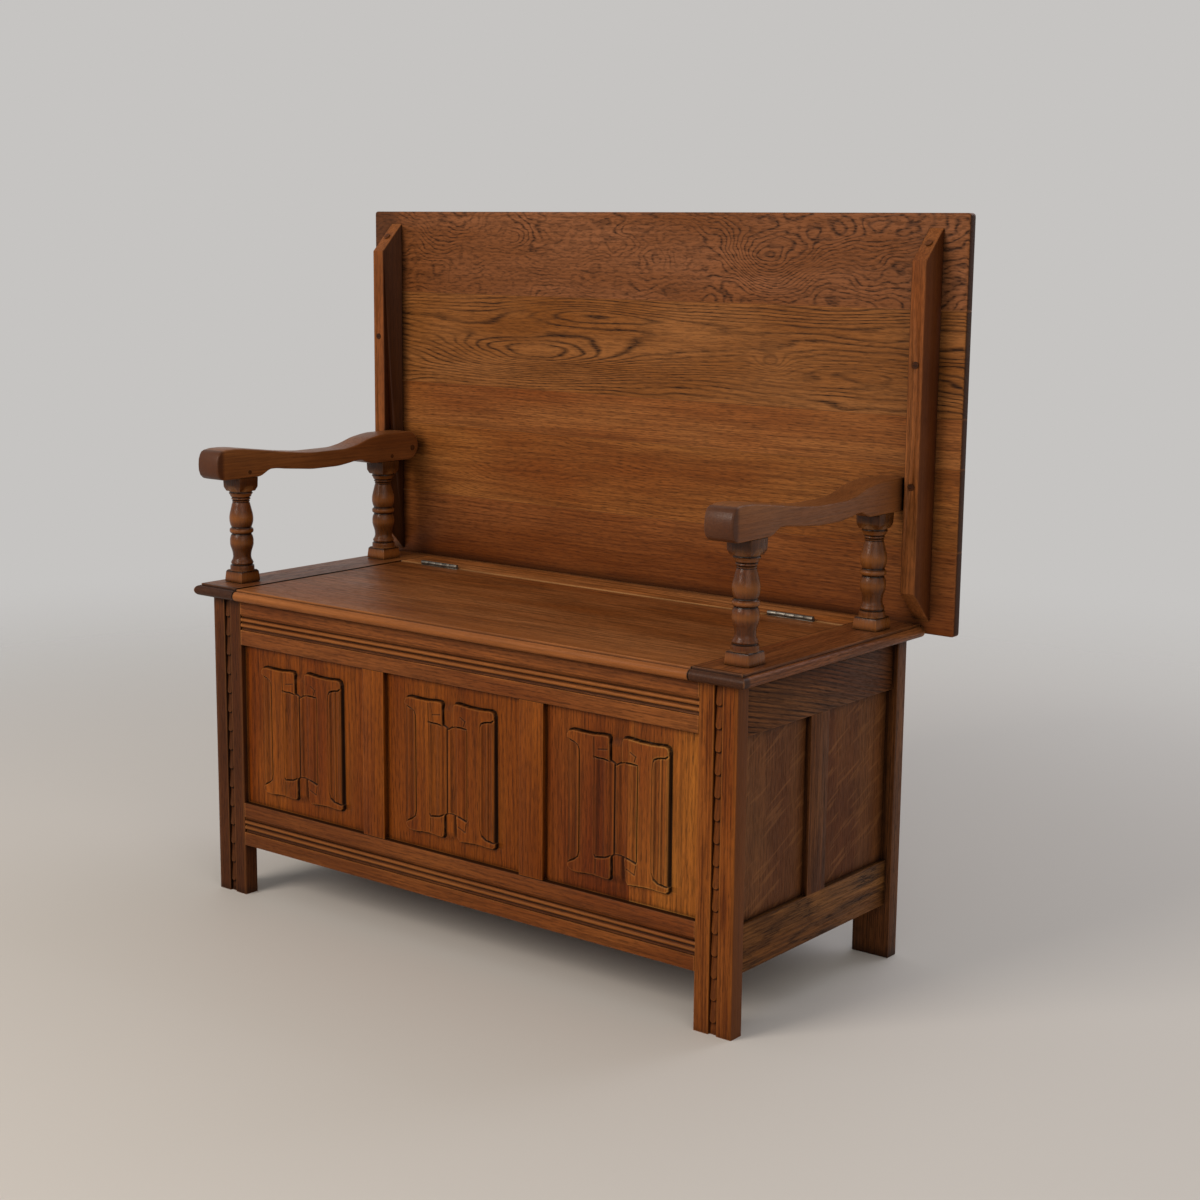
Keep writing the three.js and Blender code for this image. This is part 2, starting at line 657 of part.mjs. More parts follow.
// Room cut in one leaf for a knuckle of the other.
function knuckleRoom(stretch) {
  return barX(knuckleRadius + knucklePlay, grown(stretch, knucklePlay / 2), lidRearY, knuckleZ, smallSides);
}

function hingePin(name, side) {
  const span = grown(hingeSpan(side), jointGap);
  return toMesh(name, barX(hingePinRadius, span, lidRearY, knuckleZ, smallSides), steel);
}

// Turned part of a spindle: share of the spindle's height, share of half the block.
const turnedShares = [
  [0.135, 0.8], [0.143, 0.92], [0.16, 0.95], [0.176, 0.92], [0.188, 0.78], [0.205, 0.68], [0.242, 0.655],
  [0.3, 0.8], [0.343, 0.912], [0.378, 0.945], [0.417, 0.933], [0.45, 0.867], [0.469, 0.79], [0.482, 0.79],
  [0.49, 0.9], [0.505, 0.95], [0.52, 0.9], [0.528, 0.78], [0.547, 0.78], [0.573, 0.867], [0.615, 0.972],
  [0.69, 0.878], [0.734, 0.772], [0.782, 0.694], [0.798, 0.767], [0.811, 0.794],
  [0.828, 0.72], [0.836, 0.86], [0.868, 0.905], [0.895, 0.97],
];

// Square block whose inner end is chamfered on all four sides.
function spindleEndBlock([za, zb], chamferAtTop) {
  const half = spindleBlock / 2;
  const end = chamferAtTop ? zb - blockChamfer : za + blockChamfer;
  const body = board([-half, half], [-half, half], chamferAtTop ? [za, end] : [end, zb]);
  const wide = half * Math.SQRT2;
  const narrow = (half - blockChamfer) * Math.SQRT2;
  const radii = chamferAtTop ? [narrow, wide] : [wide, narrow];
  const slope = new THREE.CylinderGeometry(radii[0], radii[1], blockChamfer, 4);
  slope.rotateX(Math.PI / 2);
  slope.rotateZ(Math.PI / 4);
  slope.translate(0, 0, chamferAtTop ? zb - blockChamfer / 2 : za + blockChamfer / 2);
  return [body, toSolid(slope)];
}

// Spindle standing on the origin, with a round tenon at each end and the peg hole in the upper one.
function spindle(name, side, y) {
  const profile = turnedShares.map(
    ([height, radius]) => new THREE.Vector2((radius * spindleBlock) / 2, height * spindleHeight),
  );
  const blockTop = spindleBaseHeight;
  const topBlockBottom = spindleHeight - spindleTopHeight;
  const tenonTop = spindleHeight + armTenonLength;
  const closed = [
    new THREE.Vector2(0, blockTop - blockChamfer),
    new THREE.Vector2(profile[0].x, blockTop - blockChamfer),
    ...profile,
    new THREE.Vector2(profile[profile.length - 1].x, topBlockBottom + blockChamfer),
    new THREE.Vector2(0, topBlockBottom + blockChamfer),
  ];
  const turned = new THREE.LatheGeometry(closed, turnedSides);
  turned.rotateX(Math.PI / 2);
  const solid = joined([
    toSolid(turned),
    ...spindleEndBlock([0, blockTop], true),
    ...spindleEndBlock([topBlockBottom, spindleHeight], false),
    barZ(spindleTenonRadius, 0, 0, [-seatTenonLength, blockTop - blockChamfer], turnedSides),
    barZ(spindleTenonRadius, 0, 0, [topBlockBottom + blockChamfer, tenonTop], turnedSides),
  ]);
  const pegHole = barX(
    pegRadius + jointGap,
    [-pegLength, pegLength],
    0,
    spindleHeight + jointGap + pegRise,
    smallSides,
  );
  const mesh = toMesh(name, solid.subtract(pegHole), warmOak);
  mesh.position.set(side * spindleX, y, seatTop + jointGap);
  return mesh;
}

// Top and underside of an arm: share of the span between its blocks, share of the arm's height.
const armTopShares = [
  [-0.164, 0.989], [-0.052, 0.92], [0.099, 0.818], [0.2, 0.745], [0.315, 0.682], [0.4, 0.645], [0.49, 0.62],
  [0.63, 0.617], [0.724, 0.622], [0.78, 0.65], [0.832, 0.693], [0.91, 0.8], [0.987, 0.909], [1.05, 0.965],
];
const armUnderShares = [
  [0.022, 0.045], [0.06, 0.148], [0.095, 0.211], [0.125, 0.211], [0.224, 0.159], [0.34, 0.102],
  [0.483, 0.045], [0.655, 0.045], [0.77, 0.102], [0.858, 0.164], [0.892, 0.17], [0.935, 0.091],
  [0.978, 0.023],
];

// Side view of an arm, in Y and Z: rounded front block, waisted middle, rear block at the pivot.
function armOutline() {
  const half = spindleBlock / 2;
  const spanStart = frontSpindleY + half + armUnderLead;
  const spanEnd = rearSpindleY - half - rearBlockLead;
  const placed = ([u, v]) =>
    new THREE.Vector2(spanStart + u * (spanEnd - spanStart), armBottom + v * armHeight);
  const start = new THREE.Vector2(spanStart, armBottom);
  const end = new THREE.Vector2(spanEnd, armBottom);
  const under = new THREE.SplineCurve([start, ...armUnderShares.map(placed), end]);
  const topRear = new THREE.Vector2(rearSpindleY - half / 2, armTop);
  const topFront = new THREE.Vector2(armFrontY + noseTopReach, armTop);
  const upper = new THREE.SplineCurve([topRear, ...armTopShares.map(placed).reverse(), topFront]);
  const noseZ = armBottom + noseRise;
  const topQuarter = quarterRound(topFront.x, noseZ, noseTopReach, armTop - noseZ, Math.PI / 2);
  const lowQuarter = quarterRound(armFrontY + noseLowReach, noseZ, noseLowReach, noseRise, Math.PI);
  const tail = quarterRound(armRearY - tailRadius, armTop - tailRadius, tailRadius, tailRadius, 0);
  const points = [
    ...under.getPoints(armSteps),
    new THREE.Vector2(armRearY, armBottom),
    ...tail,
    ...upper.getPoints(armSteps),
    ...topQuarter.slice(1),
    ...lowQuarter.slice(1),
  ];
  return new THREE.Shape(points);
}

// Points of a quarter of an ellipse, turning on from the given angle.
function quarterRound(centreY, centreZ, reachY, reachZ, startAngle) {
  const curve = new THREE.EllipseCurve(
    centreY,
    centreZ,
    reachY,
    reachZ,
    startAngle,
    startAngle + Math.PI / 2,
  );
  return curve.getPoints(quarterSteps);
}

function arm(name, side) {
  const innerX = side * armInnerX;
  const outerX = side * armOuterX;
  const body = alongX(armOutline(), [innerX, outerX], { bevelSize: armEase });
  const cutters = [barX(pivotPinRadius + jointGap, grown([innerX, outerX], cutOverrun), pivotY, pivotZ)];
  for (const y of [frontSpindleY, rearSpindleY]) {
    cutters.push(
      barZ(spindleTenonRadius + jointGap, side * spindleX, y, [
        armBottom - cutOverrun,
        armBottom + armTenonLength + jointGap,
      ]),
      barX(
        pegRadius + jointGap,
        [innerX - side * cutOverrun, innerX + side * (pegLength + jointGap)],
        y,
        armBottom + pegRise,
        smallSides,
      ),
    );
  }
  return toMesh(name, without(body, cutters), warmOak);
}

// Peg that locks a spindle's tenon in the arm, driven from the inner face.
function armPeg(name, side, y) {
  const innerX = side * armInnerX;
  const span = [innerX - side * pegProud, innerX + side * pegLength];
  return toMesh(name, barX(pegRadius, span, y, armBottom + pegRise, smallSides), darkOak);
}

function pivotPin(name, side) {
  const span = [side * (armInnerX - pivotPinProud), side * (bearerInnerX + pivotLetIn)];
  return toMesh(name, barX(pivotPinRadius, span, pivotY, pivotZ), darkOak);
}

// Whole table top as one slab with rounded corners and eased arrises, before it is parted into planks.
function tableSlab() {
  const half = tableWidth / 2;
  const top = tableBottom + tableHeight;
  const shape = new THREE.Shape();
  shape.moveTo(-half + tableCorner, tableBottom);
  shape.lineTo(half - tableCorner, tableBottom);
  shape.quadraticCurveTo(half, tableBottom, half, tableBottom + tableCorner);
  shape.lineTo(half, top - tableCorner);
  shape.quadraticCurveTo(half, top, half - tableCorner, top);
  shape.lineTo(-half + tableCorner, top);
  shape.quadraticCurveTo(-half, top, -half, top - tableCorner);
  shape.lineTo(-half, tableBottom + tableCorner);
  shape.quadraticCurveTo(-half, tableBottom, -half + tableCorner, tableBottom);
  const easing = { bevelSize: tableEase, bevelSegments: 3 };
  return alongY(shape, [tableFaceY, tableFaceY + tableThickness], easing);
}

function tablePlanks() {
  const slab = tableSlab();
  const reachX = grown([-tableWidth / 2, tableWidth / 2], cutOverrun);
  const reachY = grown([tableFaceY, tableFaceY + tableThickness], cutOverrun);
  const last = plankWidths.length - 1;
  let edge = tableBottom;
  return plankWidths.map((width, i) => {
    const low = i === 0 ? edge - cutOverrun : edge + plankJoint / 2;
    edge += width;
    const high = i === last ? edge + cutOverrun : edge - plankJoint / 2;
    return toMesh(`table_plank_${i + 1}`, slab.intersect(board(reachX, reachY, [low, high])), oak);
  });
}

const bearerBottom = seatTop + bearerSeatGap;
const bearerTop = tableBottom + tableHeight - bearerTopInset;
const bearerLength = bearerTop - bearerBottom;
const bearerBackY = tableFaceY - jointGap;
const bearerFaceY = bearerBackY - bearerDepth;
const bearerMiddleX = (bearerInnerX + bearerOuterX) / 2;

function bearer(name, side) {
  const shape = outlineOf([
    [bearerBackY, bearerBottom],
    [bearerBackY, bearerTop],
    [bearerFaceY, bearerTop - bevelLength],
    [bearerFaceY, bearerBottom + bevelLength],
  ]);
  const body = alongX(shape, [side * bearerInnerX, side * bearerOuterX], { bevelSize: bearerEase });
  const pivotHole = barX(
    pivotPinRadius + jointGap,
    [side * (bearerInnerX - cutOverrun), side * (bearerInnerX + pivotLetIn + jointGap)],
    pivotY,
    pivotZ,
  );
  const sockets = plugHeightShares.map((share) =>
    barY(
      plugRadius + jointGap,
      side * bearerMiddleX,
      [bearerFaceY - cutOverrun, bearerFaceY + plugDepth + jointGap],
      bearerBottom + share * bearerLength,
      smallSides,
    ),
  );
  return toMesh(name, without(body, [pivotHole, ...sockets]), oak);
}

function bearerPlug(name, side, heightShare) {
  const span = [bearerFaceY - plugProud, bearerFaceY + plugDepth];
  const z = bearerBottom + heightShare * bearerLength;
  return toMesh(name, barY(plugRadius, side * bearerMiddleX, span, z, smallSides), darkOak);
}

function chest() {
  const group = new THREE.Group();
  const panelEdge = (2 * stileInnerX - 2 * muntinWidth) / 6;
  const muntinX = panelEdge + muntinWidth / 2;
  const frontBottomZ = [footHeight, frontPanelBottom];
  const frontTopZ = [frontPanelTop, chestHeight];
  const bottomGrooveZ = [frontPanelBottom - grooveDepth, frontPanelBottom + cutOverrun];
  const topGrooveZ = [frontPanelTop - cutOverrun, frontPanelTop + grooveDepth];
  group.add(
    longRail("front_bottom_rail", false, frontBottomZ, bottomGrooveZ, bottomTenonZ, oak),
    longRail("front_top_rail", false, frontTopZ, topGrooveZ, topTenonZ, oak),
    longRail("rear_bottom_rail", true, frontBottomZ, bottomGrooveZ, bottomTenonZ, oak),
    longRail("rear_top_rail", true, frontTopZ, topGrooveZ, topTenonZ, oak),
    frontMuntin("front_muntin_left", -muntinX),
    frontMuntin("front_muntin_right", muntinX),
    linenfoldPanel("linenfold_panel_left", [-stileInnerX, -panelEdge - muntinWidth]),
    linenfoldPanel("linenfold_panel_centre", [-panelEdge, panelEdge]),
    linenfoldPanel("linenfold_panel_right", [panelEdge + muntinWidth, stileInnerX]),
    rearPanel("rear_panel"),
    chestFloor(),
  );
  const sideBottomZ = [footHeight, sidePanelBottom];
  const sideTopZ = [sidePanelTop, chestHeight];
  const sideBottomGrooveZ = [sidePanelBottom - grooveDepth, sidePanelBottom + cutOverrun];
  const sideTopGrooveZ = [sidePanelTop - cutOverrun, sidePanelTop + grooveDepth];
  for (const [hand, side] of [["left", -1], ["right", 1]]) {
    const floorHousing = board(
      [side * (sideInnerX - cutOverrun), side * (sideInnerX + floorLetIn)],
      sideOpeningY,
      grown(floorZ, jointGap),
    );
    group.add(
      stile(`front_stile_${hand}`, side, false),
      stile(`rear_stile_${hand}`, side, true),
      sideRail(`side_bottom_rail_${hand}`, side, sideBottomZ, sideBottomGrooveZ, sideBottomTenonZ, [
        floorHousing,
      ]),
      sideRail(`side_top_rail_${hand}`, side, sideTopZ, sideTopGrooveZ, sideTopTenonZ, []),
      sideMuntin(`side_muntin_${hand}`, side),
      sidePanel(`side_panel_front_${hand}`, side, false),
      sidePanel(`side_panel_rear_${hand}`, side, true),
    );
  }
  return group;
}

function seatAndArms() {
  const group = new THREE.Group();
  group.add(seatRearStrip(), seatLid());
  for (const [hand, side] of [["left", -1], ["right", 1]]) {
    group.add(
      seatSideBoard(`seat_side_board_${hand}`, side),
      hingeLeaf(`hinge_fixed_leaf_${hand}`, side, false),
      hingeLeaf(`hinge_lid_leaf_${hand}`, side, true),
      hingePin(`hinge_pin_${hand}`, side),
      spindle(`spindle_front_${hand}`, side, frontSpindleY),
      spindle(`spindle_rear_${hand}`, side, rearSpindleY),
      arm(`arm_${hand}`, side),
      armPeg(`arm_peg_front_${hand}`, side, frontSpindleY),
      armPeg(`arm_peg_rear_${hand}`, side, rearSpindleY),
      pivotPin(`pivot_pin_${hand}`, side),
    );
  }
  return group;
}

function tableBack() {
  const group = new THREE.Group();
  group.add(...tablePlanks());
  for (const [hand, side] of [["left", -1], ["right", 1]]) {
    group.add(
      bearer(`bearer_${hand}`, side),
      bearerPlug(`bearer_plug_lower_${hand}`, side, plugHeightShares[0]),
      bearerPlug(`bearer_plug_upper_${hand}`, side, plugHeightShares[1]),
    );
  }
  return group;
}

// The bench stands on the origin, centred over its whole depth from the arm fronts to the table back.
const bench = new THREE.Group();
bench.add(chest(), seatAndArms(), tableBack());
bench.position.y = -(armFrontY + tableFaceY + tableThickness) / 2;

const group = new THREE.Group();
group.add(bench);
export default group;
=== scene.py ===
import math

import bpy
import numpy as np
from mathutils import Matrix, Vector


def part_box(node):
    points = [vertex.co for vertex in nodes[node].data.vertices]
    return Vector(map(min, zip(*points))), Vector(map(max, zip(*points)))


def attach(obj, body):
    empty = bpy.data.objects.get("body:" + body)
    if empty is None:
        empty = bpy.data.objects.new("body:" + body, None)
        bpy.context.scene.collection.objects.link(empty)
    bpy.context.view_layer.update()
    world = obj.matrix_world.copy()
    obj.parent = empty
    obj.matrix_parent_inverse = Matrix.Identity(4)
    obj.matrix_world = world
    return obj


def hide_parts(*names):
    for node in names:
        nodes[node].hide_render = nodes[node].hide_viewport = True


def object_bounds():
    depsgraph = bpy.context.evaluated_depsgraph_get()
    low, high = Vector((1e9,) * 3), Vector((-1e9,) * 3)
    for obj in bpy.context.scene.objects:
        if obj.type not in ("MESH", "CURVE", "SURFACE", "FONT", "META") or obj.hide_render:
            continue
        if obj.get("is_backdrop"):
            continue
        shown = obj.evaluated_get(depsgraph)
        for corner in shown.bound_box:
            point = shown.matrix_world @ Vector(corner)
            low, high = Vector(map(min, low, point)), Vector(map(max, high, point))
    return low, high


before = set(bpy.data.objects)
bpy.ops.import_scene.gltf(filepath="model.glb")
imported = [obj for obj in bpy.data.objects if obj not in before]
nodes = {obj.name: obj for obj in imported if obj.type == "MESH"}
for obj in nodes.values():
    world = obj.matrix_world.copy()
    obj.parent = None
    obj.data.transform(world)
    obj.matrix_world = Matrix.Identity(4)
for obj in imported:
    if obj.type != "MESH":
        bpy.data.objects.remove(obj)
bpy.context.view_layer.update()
mm = 0.001  # lengths are written in millimetres
weldGap = 0.002 * mm  # points nearer than this are one
benchShift = -0.20055  # in metres: the frame is centred in depth, lengths below count from the front stiles
hands = (("left", -1), ("right", 1))


def toLinear(hexColour):
    channels = [int(hexColour[i : i + 2], 16) / 255 for i in (1, 3, 5)]
    linear = [c / 12.92 if c <= 0.04045 else ((c + 0.055) / 1.055) ** 2.4 for c in channels]
    return (*linear, 1.0)


def deselectAll():
    if bpy.context.mode != "OBJECT":
        bpy.ops.object.mode_set(mode="OBJECT")
    bpy.ops.object.select_all(action="DESELECT")


def makeActive(obj):
    deselectAll()
    obj.select_set(True)
    bpy.context.view_layer.objects.active = obj


def applyPlace(obj):
    makeActive(obj)
    bpy.ops.object.transform_apply(location=True, rotation=True, scale=True)


# Rounds the edges that are sharper than the angle, in degrees.
def eased(obj, width, segments, angle):
    bevel = obj.modifiers.new("arris", "BEVEL")
    bevel.width = width * mm
    bevel.segments = segments
    bevel.limit_method = "ANGLE"
    bevel.angle_limit = math.radians(angle)
    makeActive(obj)
    bpy.ops.object.modifier_apply(modifier=bevel.name)


# Shades the piece, gives it its wood, and makes it ride a body in the place of the plain solids.
def finishPiece(obj, body, material, replaced, smoothAngle=38):
    makeActive(obj)
    bpy.ops.object.shade_smooth_by_angle(angle=math.radians(smoothAngle))
    obj.data.materials.clear()
    obj.data.materials.append(material)
    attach(obj, body)
    if replaced:
        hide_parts(*replaced)


def copyOf(obj, name):
    twin = obj.copy()
    twin.data = obj.data.copy()
    twin.name = name
    bpy.context.collection.objects.link(twin)
    return twin


# The other hand of a piece: mirrored across the middle of the bench.
def mirrored(obj, name):
    twin = copyOf(obj, name)
    makeActive(twin)
    bpy.ops.object.mode_set(mode="EDIT")
    bpy.ops.mesh.select_all(action="SELECT")
    bpy.ops.transform.mirror(
        constraint_axis=(True, False, False), orient_type="GLOBAL", center_override=(0, 0, 0)
    )
    bpy.ops.mesh.remove_doubles(threshold=weldGap)
    bpy.ops.mesh.normals_make_consistent(inside=False)
    bpy.ops.object.mode_set(mode="OBJECT")
    return twin


# A merged copy of a plain solid, ready for finer work.
def fromSolid(nodeName, name):
    obj = copyOf(nodes[nodeName], name)
    makeActive(obj)
    bpy.ops.object.mode_set(mode="EDIT")
    bpy.ops.mesh.select_all(action="SELECT")
    bpy.ops.mesh.remove_doubles(threshold=weldGap)
    bpy.ops.mesh.dissolve_limited(angle_limit=math.radians(1))
    bpy.ops.mesh.normals_make_consistent(inside=False)
    bpy.ops.object.mode_set(mode="OBJECT")
    return obj


# Places the points of a section (y, z) in the plane at x.
def inYZ(x):
    return lambda point: Vector((x * mm, point[0] * mm + benchShift, point[1] * mm))


# A line of vertices drawn by extruding one vertex from point to point.
def drawnLine(name, points, place):
    deselectAll()
    bpy.ops.mesh.primitive_plane_add(size=mm, location=(0, 0, 0))
    obj = bpy.context.active_object
    obj.name = name
    bpy.ops.object.mode_set(mode="EDIT")
    bpy.ops.mesh.select_mode(type="VERT")
    bpy.ops.mesh.select_all(action="SELECT")
    bpy.ops.mesh.merge(type="CENTER")
    at = place(points[0])
    bpy.ops.transform.translate(value=at)
    for point in points[1:]:
        goal = place(point)
        bpy.ops.mesh.extrude_region_move(TRANSFORM_OT_translate={"value": goal - at})
        at = goal
    bpy.ops.object.mode_set(mode="OBJECT")
    return obj


# An outline filled and pulled out along a direction.
def pulledOutline(name, points, place, pull):
    obj = drawnLine(name, points, place)
    makeActive(obj)
    bpy.ops.object.mode_set(mode="EDIT")
    bpy.ops.mesh.select_all(action="SELECT")
    bpy.ops.mesh.edge_face_add()
    bpy.ops.mesh.extrude_region_move(TRANSFORM_OT_translate={"value": pull})
    bpy.ops.mesh.select_all(action="SELECT")
    bpy.ops.mesh.normals_make_consistent(inside=False)
    bpy.ops.object.mode_set(mode="OBJECT")
    return obj


def smoothStep(value, low, high):
    t = np.clip((value - low) / (high - low), 0, 1)
    return t * t * (3 - 2 * t)


# Smooth curve through a few given points, without overshoot.
def smoothThrough(points, at):
    xs = np.array([p[0] for p in points], float)
    ys = np.array([p[1] for p in points], float)
    rises = np.diff(ys) / np.diff(xs)
    slopes = np.zeros_like(ys)
    for i in range(1, len(xs) - 1):
        if rises[i - 1] * rises[i] > 0:
            slopes[i] = 2 * rises[i - 1] * rises[i] / (rises[i - 1] + rises[i])
    at = np.clip(np.asarray(at, float), xs[0], xs[-1])
    k = np.clip(np.searchsorted(xs, at) - 1, 0, len(xs) - 2)
    h = xs[k + 1] - xs[k]
    t = (at - xs[k]) / h
    a = 2 * t**3 - 3 * t**2 + 1
    b = t**3 - 2 * t**2 + t
    c = -2 * t**3 + 3 * t**2
    d = t**3 - t**2
    return a * ys[k] + b * h * slopes[k] + c * ys[k + 1] + d * h * slopes[k + 1]


# Distance from points to a straight line between two ends.
def offLine(start, end, x, z):
    ax, az = start
    dx, dz = end[0] - ax, end[1] - az
    share = np.clip(((x - ax) * dx + (z - az) * dz) / (dx * dx + dz * dz), 0, 1)
    return np.hypot(x - ax - share * dx, z - az - share * dz)


# Distance from points to a closed outline, positive inside it.
def insideBy(outline, x, z):
    corners = np.array(outline, float)
    nearest = np.full(x.shape, np.inf)
    inside = np.zeros(x.shape, bool)
    for start, end in zip(corners, np.roll(corners, -1, axis=0)):
        nearest = np.minimum(nearest, offLine(start, end, x, z))
        (ax, az), (bx, bz) = start, end
        if az != bz:
            crosses = (az > z) != (bz > z)
            inside ^= crosses & (x < ax + (z - az) * (bx - ax) / (bz - az))
    return np.where(inside, nearest, -nearest)


# Adds a node, fills its sockets with links or plain values, and gives its outputs.
def addNode(tree, kind, sockets=None, stops=None, **settings):
    node = tree.nodes.new("ShaderNode" + kind)
    for key, value in settings.items():
        setattr(node, key, value)
    for key, value in (sockets or {}).items():
        if isinstance(value, bpy.types.NodeSocket):
            tree.links.new(value, node.inputs[key])
        else:
            node.inputs[key].default_value = value
    for i, (position, value) in enumerate(stops or ()):
        if i >= len(node.color_ramp.elements) - 1 and i < len(stops) - 1:
            node.color_ramp.elements.new(0.5 + 0.49 * i / len(stops))
        node.color_ramp.elements[i].position = position
        node.color_ramp.elements[i].color = (value, value, value, 1)
    return node.outputs


def emptyMaterial(name):
    material = bpy.data.materials.new(name)
    material.use_nodes = True
    material.node_tree.nodes.clear()
    return material


# Waxed oak, stained medium brown: open pores and ring lines hold the dark stain, edges are rubbed paler.
oakTones = {
    "deep": "#4f2810",  # stain lying in the soft early wood
    "body": "#6f3c18",
    "light": "#8f5628",  # hard late wood between the rings
    "pore": "#1c0d05",
    "dirt": "#120804",  # old wax and painted shade in the corners
    "worn": "#9c6233",  # arrises rubbed by hands and dusters
    "ray": "#966238",  # medullary rays, where the board is cut along them
}
# Order of the axes as along the grain, across the board's face, and into the board.
grainAxes = {
    "X": (0, 2, 1),
    "Y": (1, 2, 0),
    "Z": (2, 0, 1),
    "Xflat": (0, 1, 2),
    "Yflat": (1, 0, 2),
    "Zside": (2, 1, 0),
}
# What a board has unless its own look says otherwise: lengths in mm, scales in waves per mm, shares up to 1.
oakLook = {
    "tones": {},
    "shift": (0, 0, 0),  # which part of the log the board comes from
    "slope": 0,  # degrees between the grain and the board
    "joint": None,  # a second board glued on
    "pith": (0, 60),  # the middle of the log, across and into the board
    "straight": 1,  # below 1 the rings lie wider apart
    "ringWidth": 3.2,
    "wander": 10,
    "driftScale": (0.0035, 0.016, 0.016),
    "rippleScale": (0.02, 0.09, 0.09),
    "rippleShare": 0.12,
    # Real pores are about a quarter of a millimetre wide; these are drawn at about one so that they show.
    "poreScale": (0.07, 0.85, 0.85),
    "streakScale": (0.008, 0.28, 0.28),
    "toneScale": (0.003, 0.014, 0.014),
    "patchScale": (0.011, 0.011, 0.011),
    "rayScale": (0.018, 0.17, 0.17),
    "eyes": (),  # knots and tips of cathedrals: along, across, half the length, half the width, rise
    "lines": 0.7,  # how dark the ring lines are
    "bold": 0.45,  # how little the pores break them
    "faint": 0.6,  # what is left of them where they are faint
    "streaky": 0.75,
    "pores": 0.3,
    "fleck": 0,
    "fleckTurn": 62,  # degrees
    "carved": 0,  # painted shade and stain in the hollows that the carving marks
    # ridges of the carving rubbed lighter, with a painted highlight
    "ridge": 0.4,
    "zones": (),  # axis on the board, start, end, tone and share
    "bands": (),  # axis on the board, middle, half the height, tone and share
    # how much old wax and painted shade the corners get, and how far the occlusion reaches
    "dirt": 0.95,
    "cornerShadeReach": 20,
    "worn": 0.5,
    "wornReach": 2.5,
    "patchy": 0.76,
    "leastWorn": 0.3,  # share of the rubbing that is left where the board is rubbed least
    "rough": 0.36,
    "poreRough": 0.12,
    "patchRough": 0.12,
    "gloss": 0.1,
    "bump": 0.35,
    "poreDepth": 0.35,
    "sunk": -0.55,  # how far pores and ring lines sink, as a share of that depth
}
# Where a field comes in: the value from which it counts and the one at which it is full.
fieldSpans = {
    "pore": (0.5, 0.6),
    "late": (0.34, 0.66),
    "soft": (0.36, 0.6),
    "faint": (0.4, 0.56),
    "ray": (0.57, 0.66),
    "uneven": (0.3, 0.7),
    "rubbed": (0.35, 0.6),
    "corner": (0.34, 0.9),  # openness up to which the wax and painted shade are full, and from which there is none
    "arris": (0.5, 0.88),
}
cornerSamples = 6
# One growth ring from early to late wood: how dark its pores make it.
ringDark = ((0, 0.85), (0.1, 1), (0.34, 0.06), (0.82, 0), (1, 0.85))
fadeOut = math.exp(-1)  # what is left of a swell at its half width


# The stops of a ramp that leads a field from one value to another.
def rampStops(name, first, last):
    start, full = fieldSpans[name]
    return ((start, first), (full, last))


def woodFields(tree, look, inMm, grainMm):
    fields = {}
    for key, vector, detail in (
        ("drift", grainMm, 1.5),
        ("ripple", grainMm, 1.0),
        ("pore", grainMm, 1.0),
        ("streak", grainMm, 3.0),
        ("tone", grainMm, 2.0),
        ("patch", inMm, 2.0),
    ):
        stretched = addNode(tree, "VectorMath", {0: vector, 1: look[f"{key}Scale"]}, operation="MULTIPLY")[0]
        fields[key] = addNode(tree, "TexNoise", {"Vector": stretched, "Scale": 1, "Detail": detail})["Fac"]
    return fields


# The dark lines of the rings, which wander round the pith and close up round the eyes.
def ringLines(tree, look, fields, boardMm, grainMm, pores):
    pith = (0, *look["pith"])
    fromPith = addNode(tree, "VectorMath", {0: grainMm, 1: pith}, operation="SUBTRACT")[0]
    fromPith = addNode(tree, "VectorMath", {0: fromPith, 1: (0, 1, 1)}, operation="MULTIPLY")[0]
    radius = addNode(tree, "VectorMath", {0: fromPith}, operation="LENGTH")["Value"]
    radius = addNode(tree, "Math", {0: radius, 1: look["straight"]}, operation="MULTIPLY")[0]
    for key, share in (("drift", 1), ("ripple", look["rippleShare"])):
        wandering = {0: fields[key], 1: look["wander"] * share, 2: radius}
        radius = addNode(tree, "Math", wandering, operation="MULTIPLY_ADD")[0]
    for eyeAlong, eyeAcross, length, width, height in look["eyes"]:
        off = addNode(tree, "VectorMath", {0: boardMm, 1: (eyeAlong, eyeAcross, 0)}, operation="SUBTRACT")[0]
        flat = addNode(tree, "VectorMath", {0: off, 1: (1 / length, 1 / width, 0)}, operation="MULTIPLY")[0]
        reach = addNode(tree, "VectorMath", {0: flat, 1: flat}, operation="DOT_PRODUCT")["Value"]
        swell = addNode(tree, "Math", {0: fadeOut, 1: reach}, operation="POWER")[0]
        radius = addNode(tree, "Math", {0: swell, 1: height, 2: radius}, operation="MULTIPLY_ADD")[0]
    turns = addNode(tree, "Math", {0: radius, 1: look["ringWidth"]}, operation="DIVIDE")[0]
    ring = addNode(tree, "Math", {0: turns}, operation="FRACT")[0]
    early = addNode(tree, "ValToRGB", {0: ring}, ringDark)[0]
    whole = look["bold"]
    broken = addNode(tree, "Math", {0: pores, 1: 1 - whole, 2: whole}, operation="MULTIPLY_ADD")[0]
    lines = addNode(tree, "Math", {0: early, 1: broken}, operation="MULTIPLY")[0]
    lines = addNode(tree, "Math", {0: lines, 1: look["lines"]}, operation="MULTIPLY", use_clamp=True)[0]
    # The rings are drawn faintly in parts of the board.
    faint = addNode(tree, "ValToRGB", {0: fields["patch"]}, rampStops("faint", look["faint"], 1))[0]
    return addNode(tree, "Math", {0: lines, 1: faint}, operation="MULTIPLY")[0]


